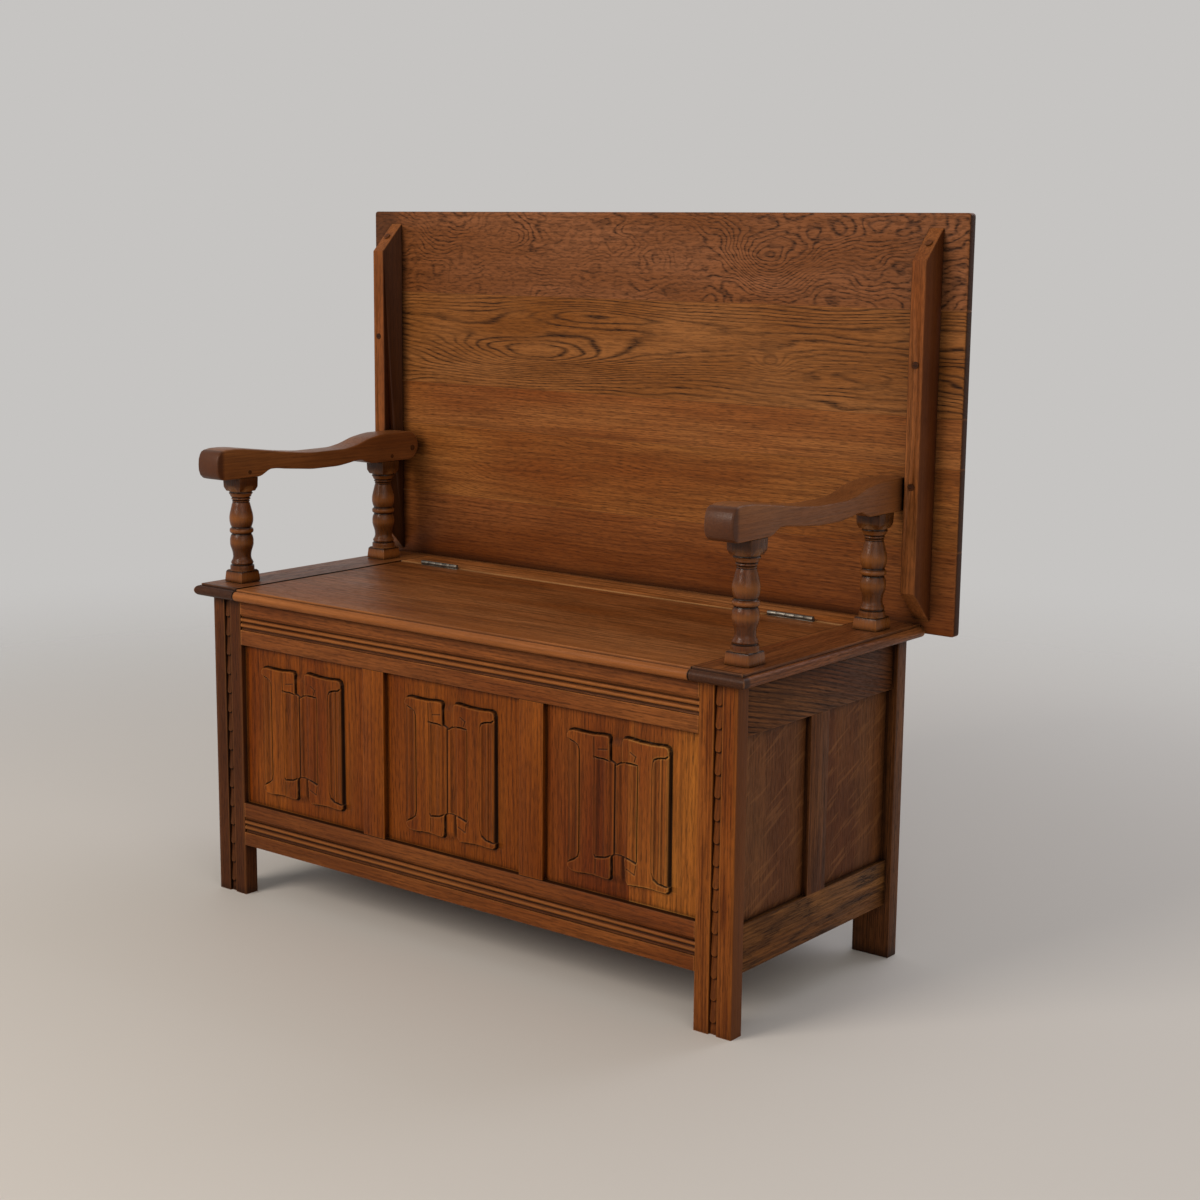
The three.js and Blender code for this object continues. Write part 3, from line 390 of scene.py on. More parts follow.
# Medullary rays cut along their length show as paler ribbons across the grain.
def rayRibbons(tree, look, inMm):
    turn = (0, 0, math.radians(look["fleckTurn"]))
    askew = addNode(tree, "Mapping", {"Vector": inMm, "Rotation": turn})[0]
    askew = addNode(tree, "VectorMath", {0: askew, 1: look["rayScale"]}, operation="MULTIPLY")[0]
    rays = addNode(tree, "TexNoise", {"Vector": askew, "Scale": 1, "Detail": 2})["Fac"]
    return addNode(tree, "ValToRGB", {0: rays}, rampStops("ray", 0, look["fleck"]))[0]


# Painted shade and stain in the hollows of the carving, and its ridges rubbed lighter with a painted
# highlight.
def carvingLayers(tree, look, tones):
    layers = []
    for attribute, share, tone in (("ridge", look["ridge"], "worn"), ("hollow", look["carved"], "dirt")):
        found = addNode(tree, "Attribute", attribute_name=attribute)["Fac"]
        found = addNode(tree, "Math", {0: found, 1: share}, operation="MULTIPLY")[0]
        layers.append((found, tones[tone]))
    return layers


# Part of a board that is handled more, kept from the light, or given a painted highlight: a tone that comes
# in along one axis.
def zoneLayers(tree, look, onBoard):
    layers = []
    for axis, start, end, tone, most in look["zones"]:
        reach = {"Value": onBoard[axis], "From Min": start, "From Max": end, "To Max": most}
        layers.append((addNode(tree, "MapRange", reach)[0], toLinear(tone)))
    return layers


# A narrow band across the piece: wax and painted shade in a quirk, painted shade in a gap or on a face turned
# from the light, a painted highlight on a reed or bead, or a form rubbed lighter.
def bandLayers(tree, look, onBoard):
    layers = []
    for axis, middle, half, tone, most in look["bands"]:
        off = addNode(tree, "Math", {0: onBoard[axis], 1: middle}, operation="SUBTRACT")[0]
        off = addNode(tree, "Math", {0: off, 1: half}, operation="DIVIDE")[0]
        reach = addNode(tree, "Math", {0: off, 1: off}, operation="MULTIPLY")[0]
        swell = addNode(tree, "Math", {0: fadeOut, 1: reach}, operation="POWER")[0]
        layers.append((addNode(tree, "Math", {0: swell, 1: most}, operation="MULTIPLY")[0], toLinear(tone)))
    return layers


# Old wax and painted shade in the corners, and arrises rubbed paler in places.
def wearAndCornerShadeLayers(tree, look, tones, fields):
    near = {"Distance": look["cornerShadeReach"] * mm}
    corner = addNode(tree, "AmbientOcclusion", near, samples=cornerSamples)["AO"]
    paintedCornerShade = addNode(tree, "ValToRGB", {0: corner}, rampStops("corner", look["dirt"], 0))[0]
    near = {"Distance": look["wornReach"] * mm}
    edge = addNode(tree, "AmbientOcclusion", near, samples=cornerSamples, inside=True)["AO"]
    worn = addNode(tree, "ValToRGB", {0: edge}, rampStops("arris", look["worn"], 0))[0]
    rubbed = addNode(tree, "ValToRGB", {0: fields["patch"]}, rampStops("rubbed", look["leastWorn"], 1))[0]
    worn = addNode(tree, "Math", {0: worn, 1: rubbed}, operation="MULTIPLY")[0]
    return [(paintedCornerShade, tones["dirt"]), (worn, tones["worn"])]


def oakMaterial(name, ownLook):
    look = {**oakLook, **ownLook}
    tones = {key: toLinear(value) for key, value in {**oakTones, **look["tones"]}.items()}
    material = emptyMaterial(name)
    tree = material.node_tree
    place = addNode(tree, "TexCoord")["Object"]
    split = addNode(tree, "SeparateXYZ", {0: place})
    along, across, depth = [split[axis] for axis in grainAxes[look["grain"]]]
    turned = addNode(tree, "CombineXYZ", {0: along, 1: across, 2: depth})[0]
    boardMm = addNode(tree, "VectorMath", {0: turned, 1: (1 / mm, 1 / mm, 1 / mm)}, operation="MULTIPLY")[0]
    onBoard = addNode(tree, "SeparateXYZ", {0: boardMm})
    inMm = addNode(tree, "VectorMath", {0: boardMm, 1: look["shift"]})[0]
    joint = look["joint"]
    if joint:
        # A panel glued up from two boards: past the joint the grain comes from another board.
        beyond = addNode(tree, "Math", {0: onBoard[1], 1: joint["at"]}, operation="GREATER_THAN")[0]
        jump = addNode(tree, "VectorMath", {0: joint["shift"], "Scale": beyond}, operation="SCALE")[0]
        inMm = addNode(tree, "VectorMath", {0: inMm, 1: jump})[0]
    slope = (0, 0, math.radians(look["slope"]))
    grainMm = addNode(tree, "Mapping", {"Vector": inMm, "Rotation": slope})[0]
    fields = woodFields(tree, look, inMm, grainMm)
    pores = addNode(tree, "ValToRGB", {0: fields["pore"]}, rampStops("pore", 0, 1))[0]
    lines = ringLines(tree, look, fields, boardMm, grainMm, pores)

    late = addNode(tree, "ValToRGB", {0: fields["tone"]}, rampStops("late", 0, 1))[0]
    soft = addNode(tree, "ValToRGB", {0: fields["streak"]}, rampStops("soft", look["streaky"], 0))[0]
    openPores = addNode(tree, "Math", {0: pores, 1: look["pores"]}, operation="MULTIPLY")[0]
    layers = [(late, tones["light"]), (soft, tones["deep"])]
    layers += [(lines, tones["pore"]), (openPores, tones["pore"])]
    if look["fleck"]:
        layers.append((rayRibbons(tree, look, inMm), tones["ray"]))
    if look["carved"]:
        layers += carvingLayers(tree, look, tones)
    layers += zoneLayers(tree, look, onBoard)
    layers += wearAndCornerShadeLayers(tree, look, tones, fields)
    layers += bandLayers(tree, look, onBoard)

    colour = tones["body"]
    for factor, tone in layers:
        colour = addNode(tree, "Mix", {0: factor, 6: colour, 7: tone}, data_type="RGBA")[2]
    uneven = addNode(tree, "ValToRGB", {0: fields["patch"]}, rampStops("uneven", look["patchy"], 1))[0]
    colour = addNode(tree, "Mix", {0: 1, 6: colour, 7: uneven}, data_type="RGBA", blend_type="MULTIPLY")[2]
    if joint:
        tint = addNode(tree, "Mix", {0: beyond, 6: (1, 1, 1, 1), 7: joint["tint"]}, data_type="RGBA")[2]
        colour = addNode(tree, "Mix", {0: 1, 6: colour, 7: tint}, data_type="RGBA", blend_type="MULTIPLY")[2]

    rough = look["rough"]
    for field, share in ((pores, look["poreRough"]), (fields["patch"], look["patchRough"])):
        rough = addNode(tree, "Math", {0: field, 1: share, 2: rough}, operation="MULTIPLY_ADD")[0]
    sunk = addNode(tree, "Math", {0: lines, 1: pores}, operation="ADD")[0]
    sunk = addNode(tree, "Math", {0: sunk, 1: look["sunk"]}, operation="MULTIPLY")[0]
    felt = {"Strength": look["bump"], "Distance": look["poreDepth"] * mm, "Height": sunk}
    normal = addNode(tree, "Bump", felt)[0]
    finish = {"Base Color": colour, "Roughness": rough, "Normal": normal}
    finish["Specular IOR Level"] = look["gloss"]
    shader = addNode(tree, "BsdfPrincipled", finish)[0]
    addNode(tree, "OutputMaterial", {"Surface": shader})
    return material


# Dulled hinge steel: greyed mill finish, with painted shade where the knuckles meet.
steelLook = {
    "dull": "#57514a",
    "clean": "#8f897f",
    "soot": "#1c1611",
    "smearScale": (60, 700, 700),  # waves per metre, drawn out along the pin
    "smearStops": ((0.35, 0), (0.65, 1)),
    "knuckleShadeReach": 3,
    "knuckleShadeStops": ((0.1, 0.4), (0.6, 0)),  # openness and how much painted shade there is
    "rough": (0.3, 0.25),  # least, and what a smear adds
    "metallic": 0.85,
    "bump": 0.2,
    "smearDepth": 0.1,
}


def steelMaterial(name):
    tones = {key: toLinear(steelLook[key]) for key in ("dull", "clean", "soot")}
    material = emptyMaterial(name)
    tree = material.node_tree
    place = addNode(tree, "TexCoord")["Object"]
    drawnOut = addNode(tree, "Mapping", {"Vector": place, "Scale": steelLook["smearScale"]})[0]
    smear = addNode(tree, "TexNoise", {"Vector": drawnOut, "Scale": 1, "Detail": 3})["Fac"]
    bright = addNode(tree, "ValToRGB", {0: smear}, steelLook["smearStops"])[0]
    colour = addNode(tree, "Mix", {0: bright, 6: tones["dull"], 7: tones["clean"]}, data_type="RGBA")[2]
    near = {"Distance": steelLook["knuckleShadeReach"] * mm}
    corner = addNode(tree, "AmbientOcclusion", near, samples=cornerSamples)["AO"]
    paintedCornerShade = addNode(tree, "ValToRGB", {0: corner}, steelLook["knuckleShadeStops"])[0]
    colour = addNode(tree, "Mix", {0: paintedCornerShade, 6: colour, 7: tones["soot"]}, data_type="RGBA")[2]
    least, added = steelLook["rough"]
    rough = addNode(tree, "Math", {0: smear, 1: added, 2: least}, operation="MULTIPLY_ADD")[0]
    felt = {"Strength": steelLook["bump"], "Distance": steelLook["smearDepth"] * mm, "Height": smear}
    normal = addNode(tree, "Bump", felt)[0]
    finish = {"Base Color": colour, "Roughness": rough, "Normal": normal, "Metallic": steelLook["metallic"]}
    addNode(tree, "OutputMaterial", {"Surface": addNode(tree, "BsdfPrincipled", finish)[0]})
    return material


cameraLook = {
    "place": (1.79310, -1.95199, 0.97454),  # metres, counted from the front stiles
    "turn": 38.239,  # degrees
    "tip": 10.280,
    "roll": 0.544,
    "lens": 61.068,  # mm, on a sensor 36 mm wide
    "sensor": 36,
    "farthest": 100,
}


def makeCamera():
    data = bpy.data.cameras.new("camera")
    data.sensor_width = cameraLook["sensor"]
    data.lens = cameraLook["lens"]
    data.clip_end = cameraLook["farthest"]
    camera = bpy.data.objects.new("camera", data)
    bpy.context.collection.objects.link(camera)
    x, y, z = cameraLook["place"]
    turn = Matrix.Rotation(math.radians(cameraLook["turn"]), 4, "Z")
    tip = Matrix.Rotation(math.radians(90 - cameraLook["tip"]), 4, "X")
    roll = Matrix.Rotation(math.radians(cameraLook["roll"]), 4, "Z")
    camera.matrix_world = Matrix.Translation((x, y + benchShift, z)) @ turn @ tip @ roll
    bpy.context.scene.camera = camera


lampLook = {
    "key": {"place": (-1.1, -3.4, 2.5), "aim": (0, 0, 0.45), "size": 1.8, "power": 92, "colour": "#fff3e6"},
    "fill": {"place": (2.8, -2.2, 1.9), "aim": (0, 0, 0.5), "size": 2.6, "power": 30, "colour": "#fff6ec"},
    "back": {"place": (0.6, 2.6, 2.6), "aim": (0, 0, 0.6), "size": 2.4, "power": 30, "colour": "#f4f4ff"},
}


def makeLamps():
    for name, look in lampLook.items():
        data = bpy.data.lights.new(name, "AREA")
        data.size = look["size"]
        data.energy = look["power"]
        data.color = toLinear(look["colour"])[:3]
        lamp = bpy.data.objects.new(name, data)
        bpy.context.collection.objects.link(lamp)
        lamp.location = look["place"]
        aim = Vector(look["aim"]) - Vector(look["place"])
        lamp.rotation_euler = aim.to_track_quat("-Z", "Y").to_euler()


roomLook = {"light": "#dcdad6", "strength": 0.5, "seen": "#c6c4c2"}


# A pale grey room where the camera looks past the bench or sees it mirrored, and a softer light on the wood.
def makeWorld():
    world = bpy.data.worlds.new("room")
    bpy.context.scene.world = world
    world.use_nodes = True
    tree = world.node_tree
    tree.nodes.clear()
    ray = addNode(tree, "LightPath")
    direct = {0: ray["Is Camera Ray"], 1: ray["Is Transmission Ray"]}
    shown = addNode(tree, "Math", direct, operation="MAXIMUM")[0]
    shown = addNode(tree, "Math", {0: shown, 1: ray["Is Glossy Ray"]}, operation="MAXIMUM")[0]
    light = {"Color": toLinear(roomLook["light"]), "Strength": roomLook["strength"]}
    soft = addNode(tree, "Background", light)[0]
    plain = addNode(tree, "Background", {"Color": toLinear(roomLook["seen"]), "Strength": 1})[0]
    both = addNode(tree, "MixShader", {0: shown, 1: soft, 2: plain})[0]
    addNode(tree, "OutputWorld", {"Surface": both})


# A matt painted floor, in metres from the middle of the bench.
floorLook = {"colour": "#d3cfca", "rough": 0.7, "size": 80, "fadeFrom": 0.9, "fadeTo": 3.2}


def makeFloor():
    deselectAll()
    bpy.ops.mesh.primitive_plane_add(size=floorLook["size"], location=(0, 0, 0))
    floor = bpy.context.active_object
    floor.name = "floor"
    material = emptyMaterial("paleFloor")
    tree = material.node_tree
    finish = {"Base Color": toLinear(floorLook["colour"]), "Roughness": floorLook["rough"]}
    solid = addNode(tree, "BsdfPrincipled", finish)[0]
    # Far from the bench the floor thins out into the plain background.
    place = addNode(tree, "TexCoord")["Object"]
    away = addNode(tree, "VectorMath", {0: place}, operation="LENGTH")["Value"]
    thinning = {"Value": away, "From Min": floorLook["fadeFrom"], "From Max": floorLook["fadeTo"]}
    fade = addNode(tree, "MapRange", thinning, interpolation_type="SMOOTHSTEP")[0]
    clear = addNode(tree, "BsdfTransparent")[0]
    both = addNode(tree, "MixShader", {0: fade, 1: solid, 2: clear})[0]
    addNode(tree, "OutputMaterial", {"Surface": both})
    floor.data.materials.append(material)
    floor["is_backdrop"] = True


bpy.context.scene.view_settings.view_transform = "Standard"
makeCamera()
makeLamps()
makeWorld()
makeFloor()
print("camera, lamps and floor are set")

# Every wood is the same stained and waxed oak. The tones and the figure follow the board: warm and bright on
# the front, greyer on the ends, and dark where wax has stayed on turned work.
frontTones = {"body": "#753609", "light": "#904c12", "deep": "#4b2006", "worn": "#ac6829"}
sideTones = {"body": "#643619", "light": "#7d4e2a", "deep": "#40220f", "worn": "#8a5833"}
topTones = {"body": "#80491d", "light": "#9e6634", "deep": "#58300f"}
turnedTones = {"body": "#653518", "light": "#824e24", "deep": "#40200c", "worn": "#a5723f"}
# Along a spindle, beads rubbed light with painted highlights, and quirks and the head under the arm dark with
# old wax and painted shade: height above the seat, half the height of the band and how strong it is.
turnedRubbedAndLit = [(8, 6, 0.35), (59, 5, 0.35), (75.5, 2, 0.5), (94, 7, 0.45), (128, 2, 0.3)]
turnedWaxAndShade = [
    (15.6, 1.2, 0.9), (25.4, 1.3, 0.95), (40, 9, 0.25), (70.4, 1.3, 0.95), (80.4, 1.3, 0.95),
    (117.4, 0.8, 0.8), (120.3, 0.8, 0.9), (124.4, 0.9, 0.9), (132, 1.3, 0.95), (146, 8, 0.5),
]
spindleLook = {
    "foot": 463.1,  # the seat below it
    "x": 446,
    "frontY": 40,
    "rearY": 335,
    "rows": 130,
    "facets": 48,
    "blockArris": 0.7,
}


def turnedBands():
    foot = spindleLook["foot"]
    bright = [(0, foot + height, reach, "#a8662e", most) for height, reach, most in turnedRubbedAndLit]
    return bright + [(0, foot + height, reach, "#100602", most) for height, reach, most in turnedWaxAndShade]


# The reeds of a rail are rubbed lighter and carry a painted highlight; the quirks between them hold painted
# shade.
def reedBands(top):
    reedHighlights = [(1, top - drop, 1.5, "#b07236", 0.34) for drop in (8.6, 16.8)]
    quirkShades = ((5, 1), (12.7, 0.9), (21.2, 1.2))  # below the top of the band, and half its height
    return reedHighlights + [(1, top - drop, reach, "#160a04", 0.6) for drop, reach in quirkShades]


carvedLook = {"lines": 0.5, "streaky": 0.5, "ridge": 0.5, "patchy": 0.86, "cornerShadeReach": 7}
sidePanelLook = {
    "grain": "Zside",
    "pith": (900, 60),
    "tones": sideTones,
    "fleck": 0.34,
    "fleckTurn": -62,
    "lines": 0.22,
    "streaky": 0.35,
}
woods = {
    "frontStile": oakMaterial(
        "waxedOakStile",
        {
            "grain": "Z",
            "shift": (40, 13, 0),
            "tones": {**frontTones, "body": "#824213", "light": "#a66024"},
            "worn": 0.6,
            "patchy": 0.86,
            "lines": 0.5,
            "dirt": 0.7,
            "cornerShadeReach": 8,
            "carved": 0.95,
            "zones": ((0, 190, 0, "#4a2109", 0.5),),
            # Painted shade in the channel and on the outer side face of the stile.
            "bands": ((1, 436.5, 5.5, "#4e250c", 0.5), (1, 465.2, 0.7, "#633a20", 0.85)),
        },
    ),
    # The left stile is a darker board.
    "frontStileDark": oakMaterial(
        "waxedOakDarkStile",
        {
            "grain": "Z",
            "shift": (470, 63, 0),
            "tones": {"body": "#4a250e", "light": "#643617", "worn": "#80502a"},
            "carved": 0.9,
        },
    ),
    "rearStile": oakMaterial(
        "waxedOakRearStile", {"grain": "Z", "shift": (310, 55, 0), "tones": {**sideTones, "body": "#5c3317"}}
    ),
    "frontRailTop": oakMaterial(
        "waxedOakTopRail",
        {
            "grain": "X",
            "pith": (700, 60),
            "tones": {"body": "#79401a", "light": "#95582a", "deep": "#54290f", "worn": "#b8763c"},
            "worn": 0.7,
            "patchy": 0.92,
            "lines": 0.4,
            "streaky": 0.5,
            "cornerShadeReach": 8,
            "bands": reedBands(424),
        },
    ),
    "frontRailBottom": oakMaterial(
        "waxedOakBottomRail",
        {
            "grain": "X",
            "shift": (500, 0, 20),
            "pith": (300, 60),
            "tones": {"body": "#723a15", "light": "#8c5022", "deep": "#4c240b", "worn": "#b0703a"},
            "worn": 0.7,
            "patchy": 0.9,
            "lines": 0.4,
            "streaky": 0.5,
            "cornerShadeReach": 8,
            "zones": ((0, 60, -420, "#4a220a", 0.6),),
            # The first band is painted shade, with some grime, on the top face of the rail in the recess
            # below the panels.
            "bands": ((1, 141.2, 0.8, "#180a03", 0.95), *reedBands(120)),
        },
    ),
    "rearRail": oakMaterial("waxedOakRearRail", {"grain": "X", "shift": (90, 0, 30), "tones": sideTones}),
    "muntin": oakMaterial(
        "waxedOakMuntin",
        {
            "grain": "Z",
            "shift": (70, 5, 0),
            "tones": frontTones,
            "lines": 0.4,
            "streaky": 0.5,
            "patchy": 0.85,
        },
    ),
    "panelLeft": oakMaterial(
        "carvedOakLeftPanel",
        {
            "grain": "Z",
            "shift": (40, 0, 5),
            "tones": frontTones,
            "carved": 0.95,
            "pith": (-300, 70),
            **carvedLook,
        },
    ),
    "panelCentre": oakMaterial(
        "carvedOakCentrePanel",
        {
            "grain": "Z",
            "shift": (400, 0, 9),
            "tones": frontTones,
            "carved": 0.95,
            "pith": (60, 70),
            **carvedLook,
            "joint": {"at": -68, "shift": (330, 60, 40), "tint": (1, 1, 1, 1)},
        },
    ),
    # A dark board and a much paler one meet in the right panel.
    "panelRight": oakMaterial(
        "carvedOakRightPanel",
        {
            "grain": "Z",
            "shift": (800, 0, 4),
            "tones": {"body": "#6d300c", "light": "#8c4916", "deep": "#431c06", "worn": "#a9672c"},
            "carved": 0.95,
            "pith": (420, 90),
            **carvedLook,
            "joint": {"at": 299, "shift": (330, -60, 40), "tint": (1.6, 2.05, 2.3, 1)},
        },
    ),
    "plainPanel": oakMaterial("waxedOakPanel", {"grain": "Z", "shift": (120, 30, 0), "tones": sideTones}),
    "sideTopRail": oakMaterial(
        "waxedOakSideTopRail",
        {"grain": "Y", "slope": 14, "tones": sideTones, "lines": 0.95, "bold": 0.75, "ringWidth": 4.2},
    ),
    "sideLowRail": oakMaterial(
        "waxedOakSideLowRail",
        {
            "grain": "Y",
            "pith": (108, 24),
            "shift": (300, 0, 0),
            "tones": {**sideTones, "body": "#77481f", "light": "#916032"},
            "lines": 0.95,
            "bold": 0.6,
            "wander": 16,
        },
    ),
    "sideMuntin": oakMaterial("waxedOakSideMuntin", {"grain": "Zside", "tones": sideTones}),
    # The end panels are quartered: straight and plain, with rays across.
    "sidePanel": oakMaterial("quarteredOakPanel", sidePanelLook),
    "lid": oakMaterial(
        "waxedOakLid",
        {
            "grain": "Xflat",
            "pith": (80, 300),
            "lines": 0.6,
            "rough": 0.34,
            "worn": 0.75,
            "tones": {**topTones, "body": "#85491c", "light": "#a4683a", "worn": "#b8743a"},
            "gloss": 0.15,
            # Painted shade in the gaps at the ends of the lid.
            "bands": ((0, 403.2, 1.2, "#150a04", 0.95), (0, -403.2, 1.2, "#150a04", 0.95)),
            "patchy": 0.88,
            "zones": ((1, -150, -212, "#8f5426", 0.45), (1, -210, -214, "#a8632c", 0.25)),
        },
    ),
    "sideBoard": oakMaterial(
        "waxedOakSeatEnd",
        {
            "grain": "Yflat",
            "lines": 0.5,
            "rough": 0.3,
            "gloss": 0.15,
            "tones": {"body": "#7c431f", "light": "#92592f", "worn": "#a66a38"},
            "zones": ((0, -204, -209, "#31190d", 0.85),),
            # Painted shade in the gaps beside the lid.
            "bands": ((1, 404.4, 1.2, "#120803", 0.97), (1, -404.4, 1.2, "#120803", 0.97)),
        },
    ),
    "strip": oakMaterial(
        "waxedOakStrip",
        {
            "grain": "Xflat",
            "shift": (200, 120, 0),
            "lines": 0.4,
            "tones": {"body": "#a05d28", "light": "#b47644"},
            # A painted highlight along the front edge of the strip, next to the lid.
            "zones": ((1, 133.6, 132.2, "#c08c58", 0.85),),
        },
    ),
    # Turned and polished on the lathe: glossier, the beads rubbed light with painted highlights, and the
    # quirks full of old wax with painted shade.
    "spindle": oakMaterial(
        "turnedOak",
        {
            "grain": "Z",
            "ringWidth": 2.6,
            "lines": 0.3,
            "streaky": 0.35,
            "patchy": 0.6,
            "worn": 0.3,
            "dirt": 0.97,
            "cornerShadeReach": 8,
            "rough": 0.16,
            "gloss": 0.2,
            "tones": turnedTones,
            "bands": turnedBands(),
        },
    ),
    # Polished by hands: the pores are filled and the grain hardly shows.
    "arm": oakMaterial(
        "handledOak",
        {
            "grain": "Y",
            "tones": {"body": "#784420", "light": "#8e582e", "deep": "#573219", "worn": "#a46c3c"},
            "lines": 0.2,
            "streaky": 0.4,
            "pores": 0.12,
            "rough": 0.28,
            "gloss": 0.2,
            "zones": ((0, -207, -213, "#3d1e11", 0.75),),
        },
    ),
    "bearer": oakMaterial(
        "waxedOakBearer",
        {
            "grain": "Z",
            "lines": 0.16,
            "streaky": 0.4,
            "worn": 0.45,
            "tones": {"body": "#8a4a20", "light": "#9e6032"},
            # Painted shade on the inner and outer faces of the bearers.
            "bands": (
                (1, 469.5, 1.1, "#2a1307", 0.9),
                (1, -469.5, 1.1, "#2a1307", 0.9),
                (1, 492, 1.1, "#4e2610", 0.85),
                (1, -492, 1.1, "#4e2610", 0.85),
            ),
        },
    ),
    "floorBoard": oakMaterial("chestFloorOak", {"grain": "Xflat", "tones": sideTones}),
    "bevelPlug": oakMaterial(
        "oakBevelPlug", {"grain": "X", "tones": {"body": "#633619", "light": "#7a4826"}}
    ),
    # End grain drinks the stain, so plugs and pegs are nearly black.
    "plug": oakMaterial(
        "darkOakPlug", {"grain": "X", "worn": 0.1, "tones": {"body": "#2c1609", "light": "#40210f"}}
    ),
    "steel": steelMaterial("dulledHingeSteel"),
}
# The end grain of the planks is stained dark, and so is the end beyond the left bearer.
edgeZones = (
    (0, 527.4, 528.3, "#2c160a", 0.9),
    (0, -527.4, -528.3, "#2c160a", 0.9),
    (0, -470, -490, "#3f2414", 0.6),
)
# Five planks of the top, from the lowest: plain, wavy, straight, cathedral and burr.
plankLooks = [
    {
        "shift": (60, 0, 12),
        "pith": (720, 40),
        "ringWidth": 3.4,
        "wander": 26,
        "lines": 0.45,
        "streaky": 0.55,
        "zones": ((1, 540, 455, "#5c2c10", 0.6), *edgeZones),
    },
    {
        "shift": (910, 0, 30),
        "pith": (400, 90),
        "ringWidth": 3.6,
        "wander": 46,
        "driftScale": (0.006, 0.016, 0.02),
        "eyes": ((-256, 600, 60, 26, 14), (192, 631, 50, 22, 12)),
        "lines": 0.5,
        "streaky": 0.55,
    },
    {"shift": (1500, 0, 3), "pith": (980, 60), "ringWidth": 3, "wander": 24, "lines": 0.5, "streaky": 0.55},
    {
        "shift": (310, 0, 7),
        "pith": (400, 70),
        "straight": 0.62,
        "ringWidth": 4.4,
        "faint": 0.45,
        "wander": 44,
        "driftScale": (0.0022, 0.017, 0.02),
        "rippleScale": (0.012, 0.05, 0.05),
        "eyes": (
            (-205, 788, 175, 30, 46),
            (231, 796, 26, 13, 14),
            (373, 789, 90, 12, -12),
            (-14, 850, 300, 14, -14),
        ),
        "lines": 1,
        "bold": 0.7,
        "bump": 0.5,
    },
    {
        "shift": (20, 0, 19),
        "pith": (400, 80),
        "straight": 0.45,
        "ringWidth": 5.4,
        "faint": 0.35,
        "wander": 104,
        "driftScale": (0.0068, 0.0132, 0.02),
        "rippleScale": (0.03, 0.05, 0.06),
        "eyes": (
            (-240, 966, 40, 22, 22),
            (-44, 948, 36, 22, 24),
            (63, 936, 30, 20, 20),
            (223, 944, 52, 30, 44),
        ),
        "poreScale": (0.1, 0.4, 0.4),
        "lines": 0.9,
        "bold": 0.62,
        "bump": 0.5,
    },
]
plankTones = [
    {"body": "#80451b", "light": "#96592c", "deep": "#582b10"},
    {"body": "#8a4c1e", "light": "#a66a34", "deep": "#5e3112"},
    {"body": "#8c4d20", "light": "#a46836", "deep": "#603417"},
    {"body": "#87501f", "light": "#a06838", "deep": "#5f3413"},
    {"body": "#7f4a24", "light": "#935d3a", "deep": "#5c3315"},
]
plankCommon = {"grain": "X", "pores": 0.32, "patchy": 0.88, "streaky": 0.4, "zones": edgeZones}
plankWoods = [
    oakMaterial(f"waxedOakPlank{i + 1}", {**plankCommon, "tones": plankTones[i], **plankLooks[i]})
    for i in range(5)
]
print("woods are mixed")

# Linenfold carving: two cloths over a row of folds, in millimetres from the lower left of the carving.
carving = {
    "left": 36.9,  # ground beside it
    "bottom": 18.9,
    "width": 163,
    "height": 193,
    "cloth": 5.6,  # above the ground
    "pitch": (0.6, 0.75),
    "margin": 3,
    "ground": 9,  # behind the faces of the frame
    "back": 16,
    "openingLeft": -408,  # the left one of the three openings
    "openingBottom": 141,
    "arris": 0.45,  # how far the arris of a cloth is eased
    "arrisReach": (0.2, 1.5),
    "clothWall": (-0.4, 0.4),  # where the wall of a cloth stands, counted from its outline
    "foldWall": (-0.3, 0.7),
    "between": 2.4,  # height of the ground between the two cloths
    "betweenX": (66, 72, 86, 92),  # where it begins, is full, begins to end and ends
    "betweenZ": (0, 14, 178, 192),
    "groove": (2.4, 0.85, 0.2),  # along a cloth: depth, half the width and how far outside its outline
    "grooveFrom": (1, 2.5),  # it runs out this near the edge of the folds
    "outerGroove": (1.1, 0.8, 0.9),  # round the carving
    "hemCut": (0.8, 0.8),
    "smoothAngle": 60,
}
leftCloth = [
    (1.5, 11), (3.9, 6.5), (9.8, 3.7), (20.6, 3.2), (31.4, 4.6), (44.9, 5.2), (58.2, 4.2), (69, 3.6),
    (72.3, 6.5), (73.1, 19), (72.6, 35.6), (64.2, 32.2), (56.2, 30.6), (48.2, 29.7), (46.3, 33),
    (46, 150), (46, 159), (44.2, 161.3), (51.6, 160.5), (59.6, 160.8), (70, 159.4), (70, 165),
    (69.2, 188), (67.4, 191), (57.7, 191.3), (41.8, 189.7), (25.9, 190.1), (9.8, 190.5), (3, 188.6),
    (0, 184), (0, 179.5), (5.4, 177.2), (12.1, 175.3), (17.9, 172), (20.7, 167.2), (21.2, 158),
    (21.4, 32.6), (19.6, 25), (13, 19.6), (6.1, 16.5), (2.5, 14),
]
rightCloth = [
    (97, 8), (100.4, 3.4), (113.4, 4.5), (131.6, 5.6), (149.6, 4.8), (160, 4.4), (164.2, 8), (164.2, 13),
    (156, 13.5), (147, 15), (140.5, 19), (138, 27), (137, 60), (137, 160), (138, 169.5), (139.5, 173),
    (144, 175.4), (150.4, 176.7), (156.7, 177.6), (162.5, 181.4), (162.5, 186), (160.8, 190.6),
    (156, 192.4), (148, 191.8), (135.4, 191), (120.1, 191.3), (107.3, 192.4), (97, 193.3), (91, 192),
    (89.1, 187), (89.3, 160.4), (93.6, 161.6), (104, 161.8), (113.6, 161), (114.4, 157), (114, 36),
    (112.8, 33.7), (103.7, 36.8), (95, 38.7), (94.5, 36), (96, 20),
]
